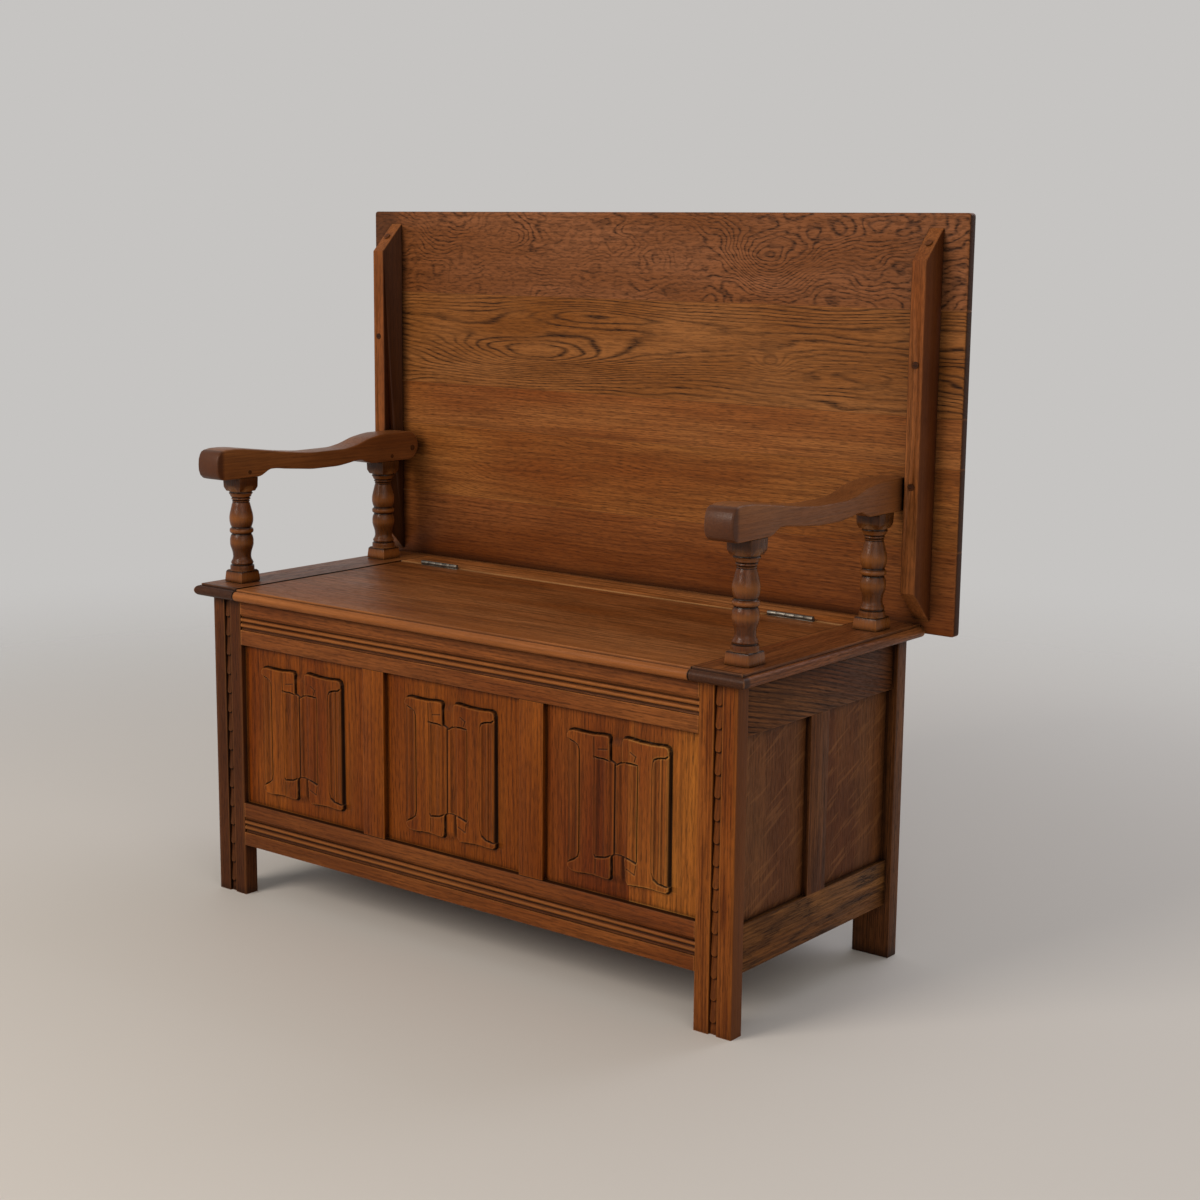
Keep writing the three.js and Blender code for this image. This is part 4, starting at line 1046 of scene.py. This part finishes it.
foldOutline = [
    (0.5, 12), (20, 9), (60, 12), (72.6, 33), (72.6, 35.6), (76.3, 38.5), (80.3, 40.1), (86.8, 40),
    (95, 38.7), (108, 14), (158, 7), (163.8, 9), (163.6, 31.7), (162.6, 186), (158, 188), (110, 184),
    (93.6, 161.6), (85.7, 158.5), (80.4, 155.1), (74, 158.2), (69, 160), (60, 182), (0.5, 182),
]
foldSection = [
    (0, 0.4), (2, 2.6), (6, 3.8), (10, 3.3), (13, 2.7), (17, 4.5), (19.6, 4.6), (21.2, 1.8), (23, 5),
    (45, 5.4), (48, 5.1), (53, 3.9), (57, 3.8), (63, 4.8), (67, 4.6), (72, 3.5), (75.5, 3.6), (77.8, 1.6),
    (80, 4.7), (83, 5.2), (88, 4), (92, 4), (98, 5), (105, 5), (110, 4), (112.6, 3.9), (114.4, 1.8),
    (116, 5), (136, 5.5), (139, 5.2), (143, 3.8), (146, 3.9), (150, 5.2), (153, 4.2), (156, 4.4),
    (159, 5.4), (161.3, 5), (162.6, 3.6), (163.6, 1.5),
]
# Cuts that mark the rolled ends of the hems: two ends of each.
hemCuts = [
    ((45, 163), (44.5, 186)), ((52, 172), (66, 174)), ((103, 176), (111.4, 171.5)),
    ((111.4, 171.5), (109, 165)), ((48.5, 9), (48.5, 27)), ((99, 24), (111, 19)),
    ((111, 19), (113.4, 31)),
]


def clothBy(x, z):
    return np.maximum(insideBy(leftCloth, x, z), insideBy(rightCloth, x, z))


def carvedBy(x, z):
    return np.maximum(clothBy(x, z), insideBy(foldOutline, x, z))


# How fast a field grows to the right and upwards.
def growth(field, x, z):
    return field(x + 0.5, z) - field(x - 0.5, z), field(x, z + 0.5) - field(x, z - 0.5)


# One between the two inner places and nothing beyond the two outer ones.
def within(value, places):
    begins, full, ending, ends = places
    return smoothStep(value, begins, full) * (1 - smoothStep(value, ending, ends))


# The grooves are cut deepest on the right of each form and over its top.
def carvedHeight(x, z):
    cloth = clothBy(x, z)
    folds = insideBy(foldOutline, x, z)
    toRight, up = growth(clothBy, x, z)
    inner = np.clip(np.maximum(np.maximum(toRight, up), np.maximum(-0.7 * up, 0.06)), 0, 1)
    between = within(x, carving["betweenX"]) * within(z, carving["betweenZ"])
    ground = carving["between"] * between
    section = ground + (smoothThrough(foldSection, x) - ground) * smoothStep(folds, *carving["foldWall"])
    flat = carving["cloth"] - carving["arris"] * (1 - smoothStep(cloth, *carving["arrisReach"]))
    height = section + (flat - section) * smoothStep(cloth, *carving["clothWall"])
    deep, half, outside = carving["groove"]
    reach = smoothStep(folds, *carving["grooveFrom"])
    height -= deep * inner * reach * np.exp(-(((cloth + outside) / half) ** 2))
    deep, half = carving["hemCut"]
    for start, end in hemCuts:
        height -= deep * np.exp(-((offLine(start, end, x, z) / half) ** 2))
    toRight, up = growth(carvedBy, x, z)
    outer = np.clip(np.maximum(np.maximum(-toRight, -up), np.maximum(0.6 * up, 0.1)), 0, 1)
    deep, half, outside = carving["outerGroove"]
    height -= deep * outer * np.exp(-(((np.maximum(cloth, folds) + outside) / half) ** 2))
    return height


def panelDepth(x, z):
    return carving["ground"] - carvedHeight(x, z)


# Where the painted shade lies, with some stain and wax: beside a wall that stands to this side of a point,
# and how much.
shadeBesideWalls = [
    (-1, 0, 1), (-0.7, 0.7, 0.8), (-0.7, -0.7, 1), (0, 1, 0.8), (0, -1, 1), (0.7, 0.7, 0.3), (0.7, -0.7, 0.4),
    (1, 0, 0.45),
]
# In the channel of a stile the painted shadow lies under the tips of the scales.
shadowUnderTips = [(-1, 0, 0.25), (-0.7, 0.7, 0.9), (0, 1, 1.7), (0.7, 0.7, 0.9), (1, 0, 0.25)]
# Strength, steepness and reach of the painted shade of the carving, and the border where it stops.
carvedShadeLook = {"full": 3.4, "power": 0.7, "panelReach": 1.2, "stileReach": 1.9, "border": 1}


# A carved face: a fine grid between columns and levels, cut by a depth function, with sides and a flat back.
def carvedFace(name, columns, levels, depthAt, back, reach, shadeDirections):
    deselectAll()
    bpy.ops.mesh.primitive_grid_add(x_subdivisions=len(columns) - 1, y_subdivisions=len(levels) - 1, size=1)
    obj = bpy.context.active_object
    obj.name = name
    mesh = obj.data
    points = np.zeros(len(mesh.vertices) * 3)
    mesh.vertices.foreach_get("co", points)
    points = points.reshape(-1, 3)
    x = np.interp(points[:, 0], np.linspace(-0.5, 0.5, len(columns)), columns)
    z = np.interp(points[:, 1], np.linspace(-0.5, 0.5, len(levels)), levels)
    depth = depthAt(x, z)
    # Painted shade beside the walls that stand in the given directions, and how far each point rises above
    # its surroundings.
    hollow = np.zeros(len(x))
    around = np.zeros(len(x))
    for dx, dz, weight in shadeDirections:
        near = depthAt(x + dx * reach, z + dz * reach)
        hollow += weight * np.maximum(depth - near, 0)
        around += near / len(shadeDirections)
    hollow[(x < columns[0] + carvedShadeLook["border"]) | (x > columns[-1] - carvedShadeLook["border"])] = 0
    placed = np.column_stack([x * mm, depth * mm + benchShift, z * mm])
    mesh.vertices.foreach_set("co", placed.ravel())
    # The power brings out the painted shade of the shallow folds without widening it at the deep grooves.
    for key, values in (("hollow", hollow / carvedShadeLook["full"]), ("ridge", around - depth)):
        values = np.clip(values, 0, 1) ** carvedShadeLook["power"]
        attribute = mesh.attributes.new(key, "FLOAT", "POINT")
        attribute.data.foreach_set("value", values.astype(np.float32))
    makeActive(obj)
    bpy.ops.object.mode_set(mode="EDIT")
    bpy.ops.mesh.select_all(action="DESELECT")
    bpy.ops.mesh.select_non_manifold()
    bpy.ops.mesh.extrude_region_move()
    bpy.ops.transform.resize(value=(1, 0, 1), center_override=(0, back * mm + benchShift, 0))
    bpy.ops.mesh.edge_face_add()
    bpy.ops.mesh.select_all(action="SELECT")
    bpy.ops.mesh.normals_make_consistent(inside=False)
    bpy.ops.object.mode_set(mode="OBJECT")
    return obj


# Columns or levels of a carved face: close over the carving and wide beside it.
def spacedOver(start, size, pitch, lowest, highest):
    first, last = start - carving["margin"], start + size + carving["margin"]
    steps = round((last - first) / pitch)
    before, after = np.linspace(lowest, first, 4)[:-1], np.linspace(last, highest, 4)[1:]
    return [*before, *np.linspace(first, last, steps), *after]


def carvedPanel(name, nodeName, x0, z0):
    lowest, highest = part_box(nodeName)
    pitchX, pitchZ = carving["pitch"]
    columns = spacedOver(x0, carving["width"], pitchX, lowest.x / mm, highest.x / mm)
    levels = spacedOver(z0, carving["height"], pitchZ, lowest.z / mm, highest.z / mm)
    reach = carvedShadeLook["panelReach"]
    return carvedFace(
        name, columns, levels, lambda x, z: panelDepth(x - x0, z - z0), carving["back"], reach, shadeBesideWalls
    )


carvedX = carving["openingLeft"] + carving["left"]
carvedZ = carving["openingBottom"] + carving["bottom"]
leftPanel = carvedPanel("linenfoldPanelLeft", "linenfold_panel_left", carvedX, carvedZ)
smoothAngle = carving["smoothAngle"]
finishPiece(leftPanel, "bench", woods["panelLeft"], ["linenfold_panel_left"], smoothAngle)
for place in ("centre", "right"):
    nodeName = f"linenfold_panel_{place}"
    panel = copyOf(leftPanel, f"linenfoldPanel{place.capitalize()}")
    panel.location.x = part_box(nodeName)[0].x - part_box("linenfold_panel_left")[0].x
    applyPlace(panel)
    wood = woods[f"panel{place.capitalize()}"]
    finishPiece(panel, "bench", wood, [nodeName], smoothAngle)
print("linenfold panels are carved")

# Front stiles: a channel down the face with a row of tongue-shaped scales that overlap downwards.
stileLook = {
    "inner": 408,
    "outer": 465,
    "thick": 22,
    "top": 444.7,
    "channel": 436.5,  # its middle
    "half": 6.25,  # half its width
    "depth": 3.5,
    "wall": (-0.05, 0.3),  # where its walls stand
    "pitch": 28.6,
    "lowest": 15.7,  # tip of the lowest scale
    "tongue": 5.8,  # half the width of a scale
    "tongueWall": (-0.3, 0.6),
    "lift": (3, 1.1),  # of its tip, and the power with which it falls away
    "crown": (1.5, 2.4),  # how far its edges lie below its middle, and with which power
    "underCut": (0.9, 3, 14),  # below each tip: depth, middle and spread
    "rows": 520,
    "arris": (0.35, 1.2),  # a small bevel and the round that leads into it
    "wallSteps": (0.25, -0.02, -0.3),  # columns of points at a wall
    "floorColumns": (5.4, 21),  # how far they reach from the middle, and how many
    "innerFlat": (414, 421, 428),
    "outerFlat": (445, 451, 458),
    "smoothAngle": 50,
}


def stileDepth(x, z):
    across = np.abs(x - stileLook["channel"])
    fromTip = np.mod(z - stileLook["lowest"], stileLook["pitch"])
    half = stileLook["tongue"]
    edge = np.where(fromTip < half, half - np.hypot(across, half - fromTip), half - across)
    lift, liftPower = stileLook["lift"]
    rise = lift * (1 - fromTip / stileLook["pitch"]) ** liftPower
    crown, crownPower = stileLook["crown"]
    flatter = 1 - 0.5 * fromTip / stileLook["pitch"]
    tongue = stileLook["depth"] - rise + crown * (across / half) ** crownPower * flatter
    cut, below, spread = stileLook["underCut"]
    floor = stileLook["depth"] + cut * np.exp(-((fromTip - stileLook["pitch"] + below) ** 2) / spread)
    shown = smoothStep(edge, *stileLook["tongueWall"]) * (z > stileLook["lowest"])
    channel = floor + (tongue - floor) * shown
    toSide = np.minimum(x - stileLook["inner"], stileLook["outer"] - x)
    small, wide = stileLook["arris"]
    face = np.interp(toSide, [0, small, wide], [wide, small, 0])
    inside = smoothStep(stileLook["half"] - across, *stileLook["wall"])
    return face + (channel - face) * inside


# Columns of points: close over the channel and its walls, wide on the flats beside it.
inner, outer, middle = stileLook["inner"], stileLook["outer"], stileLook["channel"]
small, wide = stileLook["arris"]
wall = [stileLook["half"] + step for step in stileLook["wallSteps"]]
reach, count = stileLook["floorColumns"]
stileColumns = [inner, inner + small, inner + wide, *stileLook["innerFlat"]]
stileColumns += [middle - step for step in wall]
stileColumns += list(np.linspace(middle - reach, middle + reach, count))
stileColumns += [middle + step for step in reversed(wall)]
stileColumns += [*stileLook["outerFlat"], outer - wide, outer - small, outer]
stileLevels = np.linspace(0, stileLook["top"], stileLook["rows"] + 1)
stileShadeReach = carvedShadeLook["stileReach"]
rightStile = carvedFace(
    "frontStileRight", stileColumns, stileLevels, stileDepth, stileLook["thick"], stileShadeReach, shadowUnderTips
)
leftStile = mirrored(rightStile, "frontStileLeft")
smoothAngle = stileLook["smoothAngle"]
finishPiece(rightStile, "bench", woods["frontStile"], ["front_stile_right"], smoothAngle)
finishPiece(leftStile, "bench", woods["frontStileDark"], ["front_stile_left"], smoothAngle)
print("front stiles are carved")

# Half section of a spindle, radius against height above the seat.
spindleSection = [
    (15.6, 15.2), (16.3, 17.6), (18.5, 17.55), (21.5, 17.55), (24, 17.3), (25, 15.6), (26.2, 15.6),
    (28, 16.4), (30.5, 15.4), (33.5, 13.84), (37.4, 13.2), (42, 13.55), (46.5, 14.58), (51, 16.06),
    (56, 17.1), (61, 17.17), (65.5, 16.51), (69.2, 15.03), (70.4, 14.4), (71.6, 15.4), (73, 16.9),
    (75.5, 17.4), (78, 16.9), (79.3, 15.2), (80.4, 14.6), (81.8, 15.1), (85, 16.29), (90, 17.25),
    (94.5, 17.4), (99, 16.88), (104, 15.77), (109, 14.51), (113.5, 13.47), (116.2, 12.7), (117.4, 12.1),
    (118.2, 12.7), (119.2, 12.9), (120.2, 12), (121, 13.2), (122.2, 14), (123.5, 13.4), (124.3, 12.8),
    (125.2, 14.6), (128, 15.7), (130.6, 17.4), (131.6, 16.6), (132.4, 16.4), (133.4, 17), (141, 17.2),
]
# The square blocks: height above the seat against half the width.
footSection = [(0, 18.1), (4, 18), (15.4, 16.9), (17.6, 14.6)]
headSection = [(153.6, 18), (139.4, 17.5), (133.4, 14.8)]


def squareBlock(name, x, y, section):
    deselectAll()
    foot = spindleLook["foot"]
    low, half = section[0]
    centre = (x * mm, y * mm + benchShift, (foot + low) * mm)
    bpy.ops.mesh.primitive_plane_add(size=2 * half * mm, location=centre)
    block = bpy.context.active_object
    block.name = name
    applyPlace(block)
    bpy.ops.object.mode_set(mode="EDIT")
    bpy.ops.mesh.select_mode(type="FACE")
    bpy.ops.mesh.select_all(action="SELECT")
    for level, nextHalf in section[1:]:
        step = (level - low) * mm
        bpy.ops.mesh.extrude_region_move(TRANSFORM_OT_translate={"value": (0, 0, step)})
        narrowing = nextHalf / half
        bpy.ops.transform.resize(value=(narrowing, narrowing, 1), center_override=centre)
        low, half = level, nextHalf
    bpy.ops.mesh.select_all(action="SELECT")
    bpy.ops.mesh.normals_make_consistent(inside=False)
    bpy.ops.mesh.select_mode(type="VERT")
    bpy.ops.object.mode_set(mode="OBJECT")
    eased(block, spindleLook["blockArris"], segments=2, angle=20)
    return block


def spindlePiece(name, x, y):
    foot = spindleLook["foot"]
    heights = [height for height, radius in spindleSection]
    even = np.linspace(heights[0], heights[-1], spindleLook["rows"])
    samples = np.unique(np.concatenate([even, heights]))
    radii = smoothThrough(spindleSection, samples)
    profile = [(0, samples[0]), *zip(radii, samples), (0, samples[-1])]

    def beside(point):
        radius, height = point
        return Vector(((x + radius) * mm, y * mm + benchShift, (foot + height) * mm))

    turned = drawnLine(name, profile, beside)
    makeActive(turned)
    bpy.ops.object.mode_set(mode="EDIT")
    bpy.ops.mesh.select_all(action="SELECT")
    bpy.ops.mesh.spin(
        steps=spindleLook["facets"],
        angle=math.tau,
        center=(x * mm, y * mm + benchShift, 0),
        axis=(0, 0, 1),
        use_auto_merge=False,
    )
    bpy.ops.mesh.select_all(action="SELECT")
    bpy.ops.mesh.remove_doubles(threshold=weldGap)
    bpy.ops.mesh.normals_make_consistent(inside=False)
    bpy.ops.object.mode_set(mode="OBJECT")
    blocks = [squareBlock(f"{name}Foot", x, y, footSection), squareBlock(f"{name}Head", x, y, headSection)]
    deselectAll()
    for obj in (*blocks, turned):
        obj.select_set(True)
    bpy.context.view_layer.objects.active = turned
    bpy.ops.object.join()
    return turned


for end in ("front", "rear"):
    for hand, side in hands:
        nodeName = f"spindle_{end}_{hand}"
        name = f"spindle{end.capitalize()}{hand.capitalize()}"
        piece = spindlePiece(name, side * spindleLook["x"], spindleLook[f"{end}Y"])
        finishPiece(piece, "bench", woods["spindle"], [nodeName])
print("spindles are turned")

# Arm in side view: height of the top above the lowest underside, and of the underside.
armTop = [
    (-12, 42.2), (0, 44), (10, 44), (23, 43.5), (49, 40.5), (84, 36), (134, 30), (175, 27.2), (207, 27.2),
    (229, 27.3), (254, 30.5), (290, 40), (325, 44), (372, 44),
]
armUnder = [
    (58, 0), (66, 2), (75, 6.5), (83, 9.3), (90, 9.3), (113, 7), (140, 4.5), (173, 2), (213, 2),
    (240, 4.5), (260, 7.2), (268, 7.5), (278, 4), (288, 1), (296, 0),
]
armLook = {
    "inner": 425.25,
    "outer": 466.75,
    "bottom": 617,
    "height": 44,
    "rear": 394.8,
    "round": 22,  # of the rear end
    "roundFrom": 0.12,  # radians by which the round stays clear of the flats
    "points": (90, 16, 60),  # along the top, round the rear end and along the underside
    "arris": 2.6,
}
armNose = [(-8, 0), (-14, 1.6), (-19, 6), (-21.6, 13), (-22, 21), (-21.4, 29), (-19, 36), (-16, 40.2)]


def armPiece(name):
    tall, start = armLook["height"], armLook["roundFrom"]
    topPoints, roundPoints, underPoints = armLook["points"]
    topY = np.linspace(armTop[0][0], armTop[-1][0], topPoints)
    over = [*zip(topY, smoothThrough(armTop, topY))]
    centre = armLook["rear"] - armLook["round"]
    tail = [
        (centre + armLook["round"] * math.sin(a), tall / 2 + tall / 2 * math.cos(a))
        for a in np.linspace(start, math.pi - start, roundPoints)
    ]
    underY = np.linspace(armUnder[-1][0], armUnder[0][0], underPoints)
    under = [(armTop[-1][0], 0), *zip(underY, smoothThrough(armUnder, underY))]
    outline = [(y, armLook["bottom"] + h) for y, h in (*over, *tail, *under, *armNose)]
    width = armLook["outer"] - armLook["inner"]
    obj = pulledOutline(name, outline, inYZ(armLook["inner"]), (width * mm, 0, 0))
    eased(obj, armLook["arris"], segments=4, angle=50)
    return obj


rightArm = armPiece("armRight")
leftArm = mirrored(rightArm, "armLeft")
finishPiece(rightArm, "bench", woods["arm"], ["arm_right"])
finishPiece(leftArm, "bench", woods["arm"], ["arm_left"])
print("arms are shaped")

# Front rails: a sunk band with two reeds, drawn as a section and pulled along the rail.
reedBand = [
    (0, 0), (0.4, 0.5), (4.6, 3.5), (5.4, 3.5), (5.9, 1.9), (6.9, 0.9), (8.6, 0.5), (10.3, 0.9),
    (11.3, 1.9), (11.9, 3.1), (12.7, 3.6), (13.5, 3.1), (14.1, 1.9), (15.1, 0.9), (16.8, 0.5),
    (18.5, 0.9), (19.5, 1.9), (20, 3.5), (22.8, 3.5), (23.6, 3.1), (24, 0),
]
railLook = {
    "top": (378, 444.7, 424),  # lower edge, upper edge and top of the sunk band
    "bottom": (76, 141, 120),
    "left": -408,
    "length": 816,
    "thick": 20,
    "arris": (0.4, 1.2),
}
for part in ("top", "bottom"):
    low, high, bandTop = railLook[part]
    small, wide = railLook["arris"]
    thick = railLook["thick"]
    outline = [(wide, high), (small, high - small), (0, high - wide)]
    outline += [(depth, bandTop - drop) for drop, depth in reedBand]
    outline += [(0, low + wide), (small, low + small), (wide, low), (thick, low), (thick, high)]
    pull = (railLook["length"] * mm, 0, 0)
    rail = pulledOutline(f"front{part.capitalize()}Rail", outline, inYZ(railLook["left"]), pull)
    finishPiece(rail, "bench", woods[f"frontRail{part.capitalize()}"], [f"front_{part}_rail"])
print("front rails are moulded")

# Seat boards: a fillet, a quirk and a round along the open edges, as reach beyond the flat against depth.
seatLook = {
    "top": 462.8,
    "thick": 17.8,
    "flatFront": -11,
    "flatX": 478,
    "lidHalf": 403.4,
    "lidGap": 0.9,
    "lidRear": 330.7,
    "settled": 1.1,  # how far the lid lies below the boards round it
    "rear": 406.8,
    "round": 7.5,
    "roundAt": (0.5, -10.3),  # its centre
    "roundFrom": 0.29,  # radians
    "roundPoints": 20,
    "smoothAngle": 30,
}
nosing = [(-0.7, 0), (-0.2, -0.1), (0, -0.5), (0, -2.9), (0.3, -4.2), (1, -4.3), (1.7, -3.6), (2.3, -3.2)]
out, down = seatLook["roundAt"]
for a in np.linspace(seatLook["roundFrom"], math.pi, seatLook["roundPoints"]):
    nosing.append((out + seatLook["round"] * math.sin(a), down + seatLook["round"] * math.cos(a)))


# The end board of the seat, moulded along its front and its outer end, with a mitre where they meet.
def sideBoard(name):
    inner, rear = seatLook["lidHalf"] + seatLook["lidGap"], seatLook["rear"]
    rows = [(None, 0), *nosing, (None, -seatLook["thick"])]
    deselectAll()
    bpy.ops.mesh.primitive_grid_add(x_subdivisions=2, y_subdivisions=len(rows) - 1, size=1)
    obj = bpy.context.active_object
    obj.name = name
    for vertex in obj.data.vertices:
        reach, drop = rows[round((vertex.co.y + 0.5) * (len(rows) - 1))]
        station = round((vertex.co.x + 0.5) * 2)
        if reach is None:
            x, y = inner, rear
        else:
            x = inner if station == 0 else seatLook["flatX"] + reach
            y = rear if station == 2 else seatLook["flatFront"] - reach
        vertex.co = (x * mm, y * mm + benchShift, (seatLook["top"] + drop) * mm)
    makeActive(obj)
    bpy.ops.object.mode_set(mode="EDIT")
    bpy.ops.mesh.select_all(action="SELECT")
    bpy.ops.mesh.remove_doubles(threshold=weldGap)
    bpy.ops.mesh.fill_holes(sides=0)
    bpy.ops.mesh.normals_make_consistent(inside=False)
    bpy.ops.object.mode_set(mode="OBJECT")
    return obj


rightBoard = sideBoard("seatSideBoardRight")
leftBoard = mirrored(rightBoard, "seatSideBoardLeft")
smoothAngle = seatLook["smoothAngle"]
finishPiece(rightBoard, "bench", woods["sideBoard"], ["seat_side_board_right"], smoothAngle)
finishPiece(leftBoard, "bench", woods["sideBoard"], ["seat_side_board_left"], smoothAngle)

lidTop, lidShare = seatLook["top"] - seatLook["settled"], 1 - seatLook["settled"] / seatLook["thick"]
lidSection = [(seatLook["lidRear"], 0), *[(seatLook["flatFront"] - reach, drop) for reach, drop in nosing]]
lidSection.append((seatLook["lidRear"], -seatLook["thick"]))
lidSection = [(y, lidTop + drop * lidShare) for y, drop in lidSection]
lid = pulledOutline("seatLid", lidSection, inYZ(-seatLook["lidHalf"]), (2 * seatLook["lidHalf"] * mm, 0, 0))
finishPiece(lid, "lid", woods["lid"], ["seat_lid"], smoothAngle)
print("seat boards are moulded")

# Boards whose solids have their form already, first those in pairs, with how far their arrises are eased.
plainPairs = (
    ("rear_stile_", "rearStile", "oak_frame", "rearStile", 1.2),
    ("front_muntin_", "frontMuntin", "oak_frame", "muntin", 0.8),
    ("side_top_rail_", "sideTopRail", "oak_frame", "sideTopRail", 0.8),
    ("side_bottom_rail_", "sideBottomRail", "oak_frame", "sideLowRail", 0.8),
    ("side_muntin_", "sideMuntin", "oak_frame", "sideMuntin", 0.8),
    ("side_panel_front_", "sidePanelFront", "oak_panel", "sidePanel", 0),
    ("side_panel_rear_", "sidePanelRear", "oak_panel", "sidePanel", 0),
)
for prefix, name, slotName, wood, arris in plainPairs:
    for hand, side in hands:
        piece = fromSolid(f"{prefix}{hand}", f"{name}{hand.capitalize()}")
        if arris:
            eased(piece, arris, segments=2, angle=60)
        finishPiece(piece, "bench", woods[wood], [f"{prefix}{hand}"])
plainSingles = (
    ("rear_top_rail", "rearTopRail", "bench", "oak_frame", "rearRail"),
    ("rear_bottom_rail", "rearBottomRail", "bench", "oak_frame", "rearRail"),
    ("rear_panel", "rearPanel", "bench", "oak_panel", "plainPanel"),
    ("seat_rear_strip", "seatRearStrip", "bench", "oak_seat", "strip"),
    ("bearer_left", "bearerLeft", "table", "oak_top", "bearer"),
    ("bearer_right", "bearerRight", "table", "oak_top", "bearer"),
)
for nodeName, name, body, slotName, wood in plainSingles:
    finishPiece(fromSolid(nodeName, name), body, woods[wood], [nodeName])
for i in range(5):
    nodeName = f"table_plank_{i + 1}"
    finishPiece(fromSolid(nodeName, f"tablePlank{i + 1}"), "table", plankWoods[i], [nodeName])
print("boards are eased")

# Plugs over the screws in the upper bevels of the bearers, cut off nearly flush.
bevelPlugLook = {"x": 481.5, "y": 386.7, "z": 962.7, "radius": 4.6, "depth": 4, "tilt": 45, "arris": 0.5}
for hand, side in hands:
    deselectAll()
    bpy.ops.mesh.primitive_cylinder_add(
        vertices=32,
        radius=bevelPlugLook["radius"] * mm,
        depth=bevelPlugLook["depth"] * mm,
        location=(
            side * bevelPlugLook["x"] * mm,
            bevelPlugLook["y"] * mm + benchShift,
            bevelPlugLook["z"] * mm,
        ),
    )
    plug = bpy.context.active_object
    plug.name = f"bevelPlug{hand.capitalize()}"
    plug.rotation_euler.x = math.radians(bevelPlugLook["tilt"])
    applyPlace(plug)
    eased(plug, bevelPlugLook["arris"], segments=3, angle=50)
    finishPiece(plug, "table", woods["bevelPlug"], [])

hingeArris = 0.2
for hand, side in hands:
    for part, body in (("hinge_fixed_leaf", "bench"), ("hinge_lid_leaf", "lid"), ("hinge_pin", "bench")):
        words = part.split("_")
        name = words[0] + "".join(word.capitalize() for word in words[1:]) + hand.capitalize()
        piece = fromSolid(f"{part}_{hand}", name)
        eased(piece, hingeArris, segments=2, angle=50)
        finishPiece(piece, body, woods["steel"], [f"{part}_{hand}"])
print("hinges and plugs are set")

# The plain solids that still show, such as plugs, pegs and the floor of the chest, get their wood.
for nodeName, obj in nodes.items():
    obj.data.materials.clear()
    wood = "steel" if nodeName.startswith("hinge") else "floorBoard" if nodeName == "chest_floor" else "plug"
    obj.data.materials.append(woods[wood])

low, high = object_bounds()
